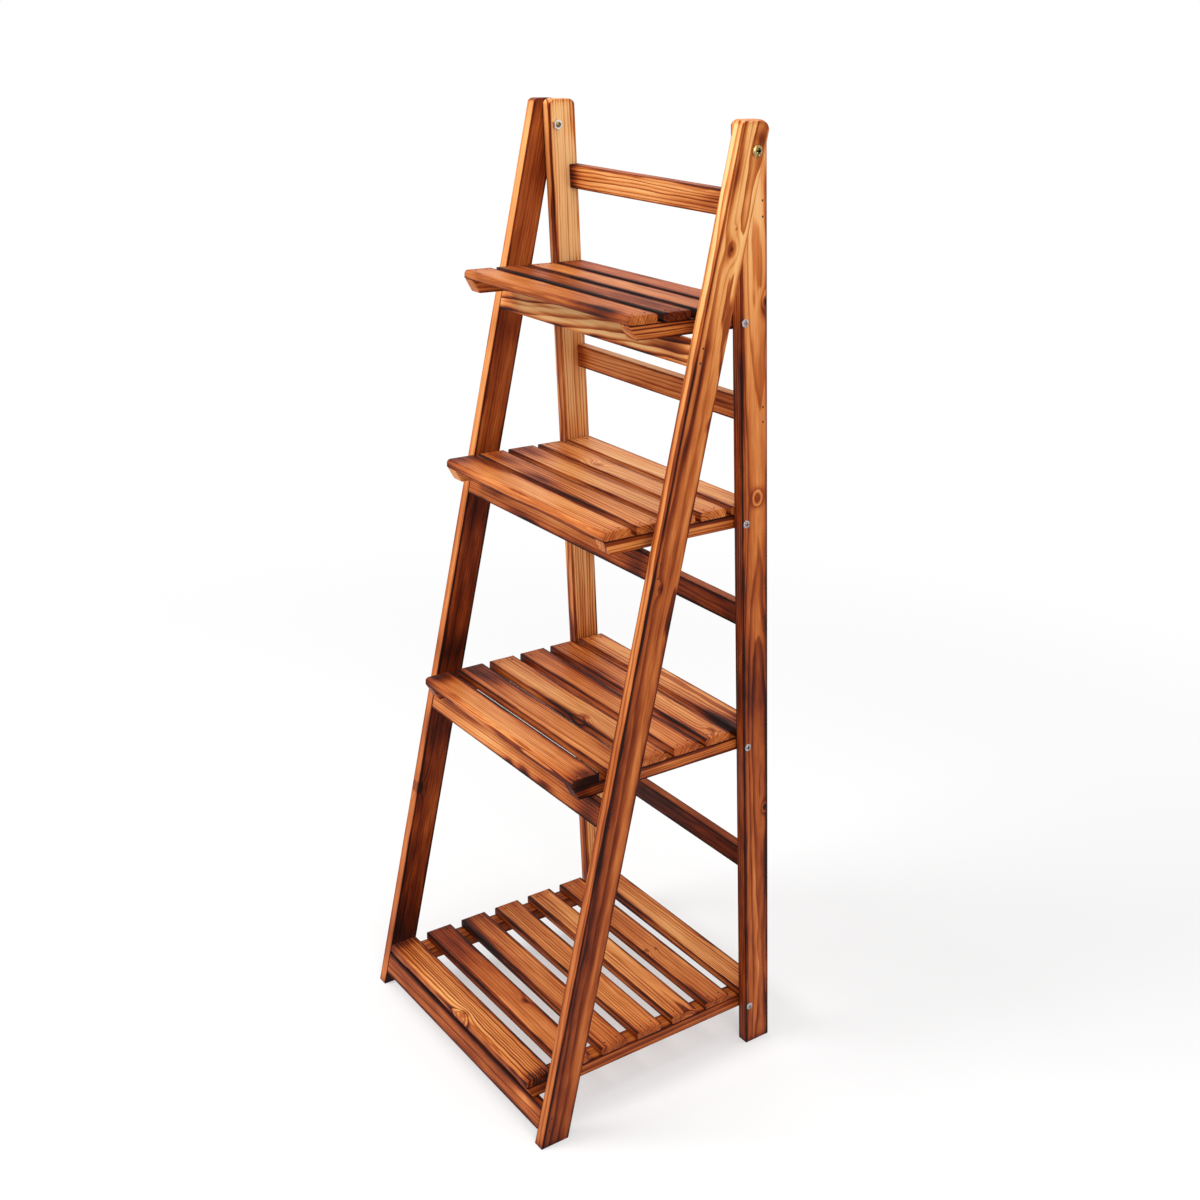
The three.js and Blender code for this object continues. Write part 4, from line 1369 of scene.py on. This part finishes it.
sample_places = leg_brads("front_rung_1", "front_leg_right", BAR_BRADS["front"][1])
print("a rung's brads in mm:", [np.round(np.array(spot) * 1000, 1) for spot, _ in sample_places])

# %% [markdown]
# A brad, screw or bolt would not be worth a piece of its own, and there are 130 of them. So all of
# one kind on one body become one piece, which moves with that body. The shape is made once, with
# its painted slot shade and darker shank end on it, and the layout tree puts it on every place.

# %% Brads of the frames and shelves
SHARP_ANGLE = math.radians(50)
# A slot lies near the axis, below a share of the head's height and above the shank.
SLOT_RADIUS, SLOT_BOTTOM, SLOT_TOP = 0.003, -0.002, 0.6
# A long shank's end is darkened at this share.
TIP_LENGTH, TIP_BELOW, TIP_DARKNESS = 0.001, -0.01, 0.55


def slot_shade_and_end_values(points):
    """Darkening on a fastener: full painted shade in the slots of its head, and some on the end of
    a long shank.
    """
    height = points[:, 2]
    slot = np.hypot(points[:, 0], points[:, 1]) < SLOT_RADIUS
    slot &= (height < height.max() * SLOT_TOP) & (height > SLOT_BOTTOM)
    tip = height < min(height.min() + TIP_LENGTH, TIP_BELOW)
    return slot + TIP_DARKNESS * tip


def fastener_piece(name, shape, places, finish, body):
    """All the fasteners of one kind on one body, as one piece."""
    pattern = mesh_object("pattern", *shape)
    # The pattern carries its painted shade in the slots and its darker shank end.
    set_values(pattern.data, {"slot_shade_and_dark_end": slot_shade_and_end_values(shape[0])})
    made = mesh_object(name, [spot for spot, _ in places], [])
    set_values(made.data, {"facing": np.array([facing for _, facing in places], float)})
    run_layout(made, fastener_tree, Shape=pattern, Size=1.0, Finish=finish)
    bpy.data.objects.remove(pattern)
    shade_smooth(made.data)
    made.data.set_sharp_from_angle(angle=SHARP_ANGLE)
    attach(made, body)
    print(name, len(places), "pieces,", len(made.data.polygons), "faces")
    return made


for kind, (bar, spread) in BAR_BRADS.items():
    places = [spot for k in range(1, 5) for side in SIDES
              for spot in leg_brads(f"{bar}_{k}", f"{kind}_leg_{side}", spread)]
    fastener_piece(f"brads_of_{kind}_frame", brad_shape(), places, brad_finish, kind + "_frame")
rng = np.random.default_rng(7)
for shelf, count in SHELF_SLATS.items():
    places = [spot for k in range(1, count + 1)
              for spot in slat_brads(f"shelf_{shelf}_slat_{k}", rng)]
    fastener_piece(f"brads_of_shelf_{shelf}", brad_shape(), places, brad_finish, f"shelf_{shelf}")

# %% [markdown]
# The shelves turn on cross-head screws in the rear legs. The frame's plain screws are faceted, and
# their heads end exactly in the wood's face. They could be kept and only given a finish, but two
# faces in one plane render badly, and a facet stays a facet. So finer screws take their places,
# with heads that stand a hair out of the wood.

# %% Shelf screws
def on_wood(solid, face, sign):
    """The place and facing of a head: the middle of its solid, on the wood's face at this x."""
    low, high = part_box(solid)
    return (face, (low[1] + high[1]) / 2, (low[2] + high[2]) / 2), (sign, 0, 0)


screws, places = [], []
for shelf in SHELF_SLATS:
    for side, sign in zip(SIDES, (-1, 1)):
        screws.append(f"shelf_{shelf}_screw_{side}")
        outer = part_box(f"rear_leg_{side}")[0 if sign < 0 else 1][0]
        places.append(on_wood(screws[-1], outer, sign))
made = fastener_piece("shelf_screws", screw_shape(), places, screw_finish, "rear_frame")
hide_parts(*screws)
print("shelf screws take the places of", len(screws), "solids")

# %% [markdown]
# The two ladder frames turn on bolts near their tops. A bolt has a domed head with a cross slot
# outside and a nut inside. The frame's bolts have faceted heads, and a finish can't round a facet.
# So two turned bolts take their places, as long as the plain ones. The nuts and washers stay as
# the frame has them, because they have flat faces on the real stand too.

# %% Pivot bolts
def bolt_shape(length, head=0.006, shank=0.003, rise=0.0036, depth=0.0020):
    """A domed bolt: a wide cross-slotted head on the wood, and a shank down to its end."""
    steps = np.array([*SLOT_STEPS, 0.68, 0.78, 0.87, 0.94, 0.99])
    profile = [(head * t, rise * (0.3 + 0.7 * np.sqrt(1 - t * t))) for t in steps]
    profile += [(head, 0.0004), (head, 0.0), (shank, -0.0001), (shank, -length + 0.0006),
                (0.8 * shank, -length), (0, -length)]
    points, faces = turned_shape(profile, SCREW_SIDES)
    press_cross(points, head, reach=0.5, above=0.001, floor=rise - depth)
    return points, faces


bolts = [f"pivot_bolt_{side}" for side in SIDES]
leg_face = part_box("front_leg_right")[1][0]
bolt_length = leg_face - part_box("pivot_bolt_right")[0][0]
places = [on_wood(bolt, sign * leg_face, sign) for bolt, sign in zip(bolts, (-1, 1))]
made = fastener_piece("pivot_bolts", bolt_shape(bolt_length), places, bolt_finish, "rear_frame")
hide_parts(*bolts)
print("the bolts are", round(bolt_length * 1000, 1), "mm long under the head")
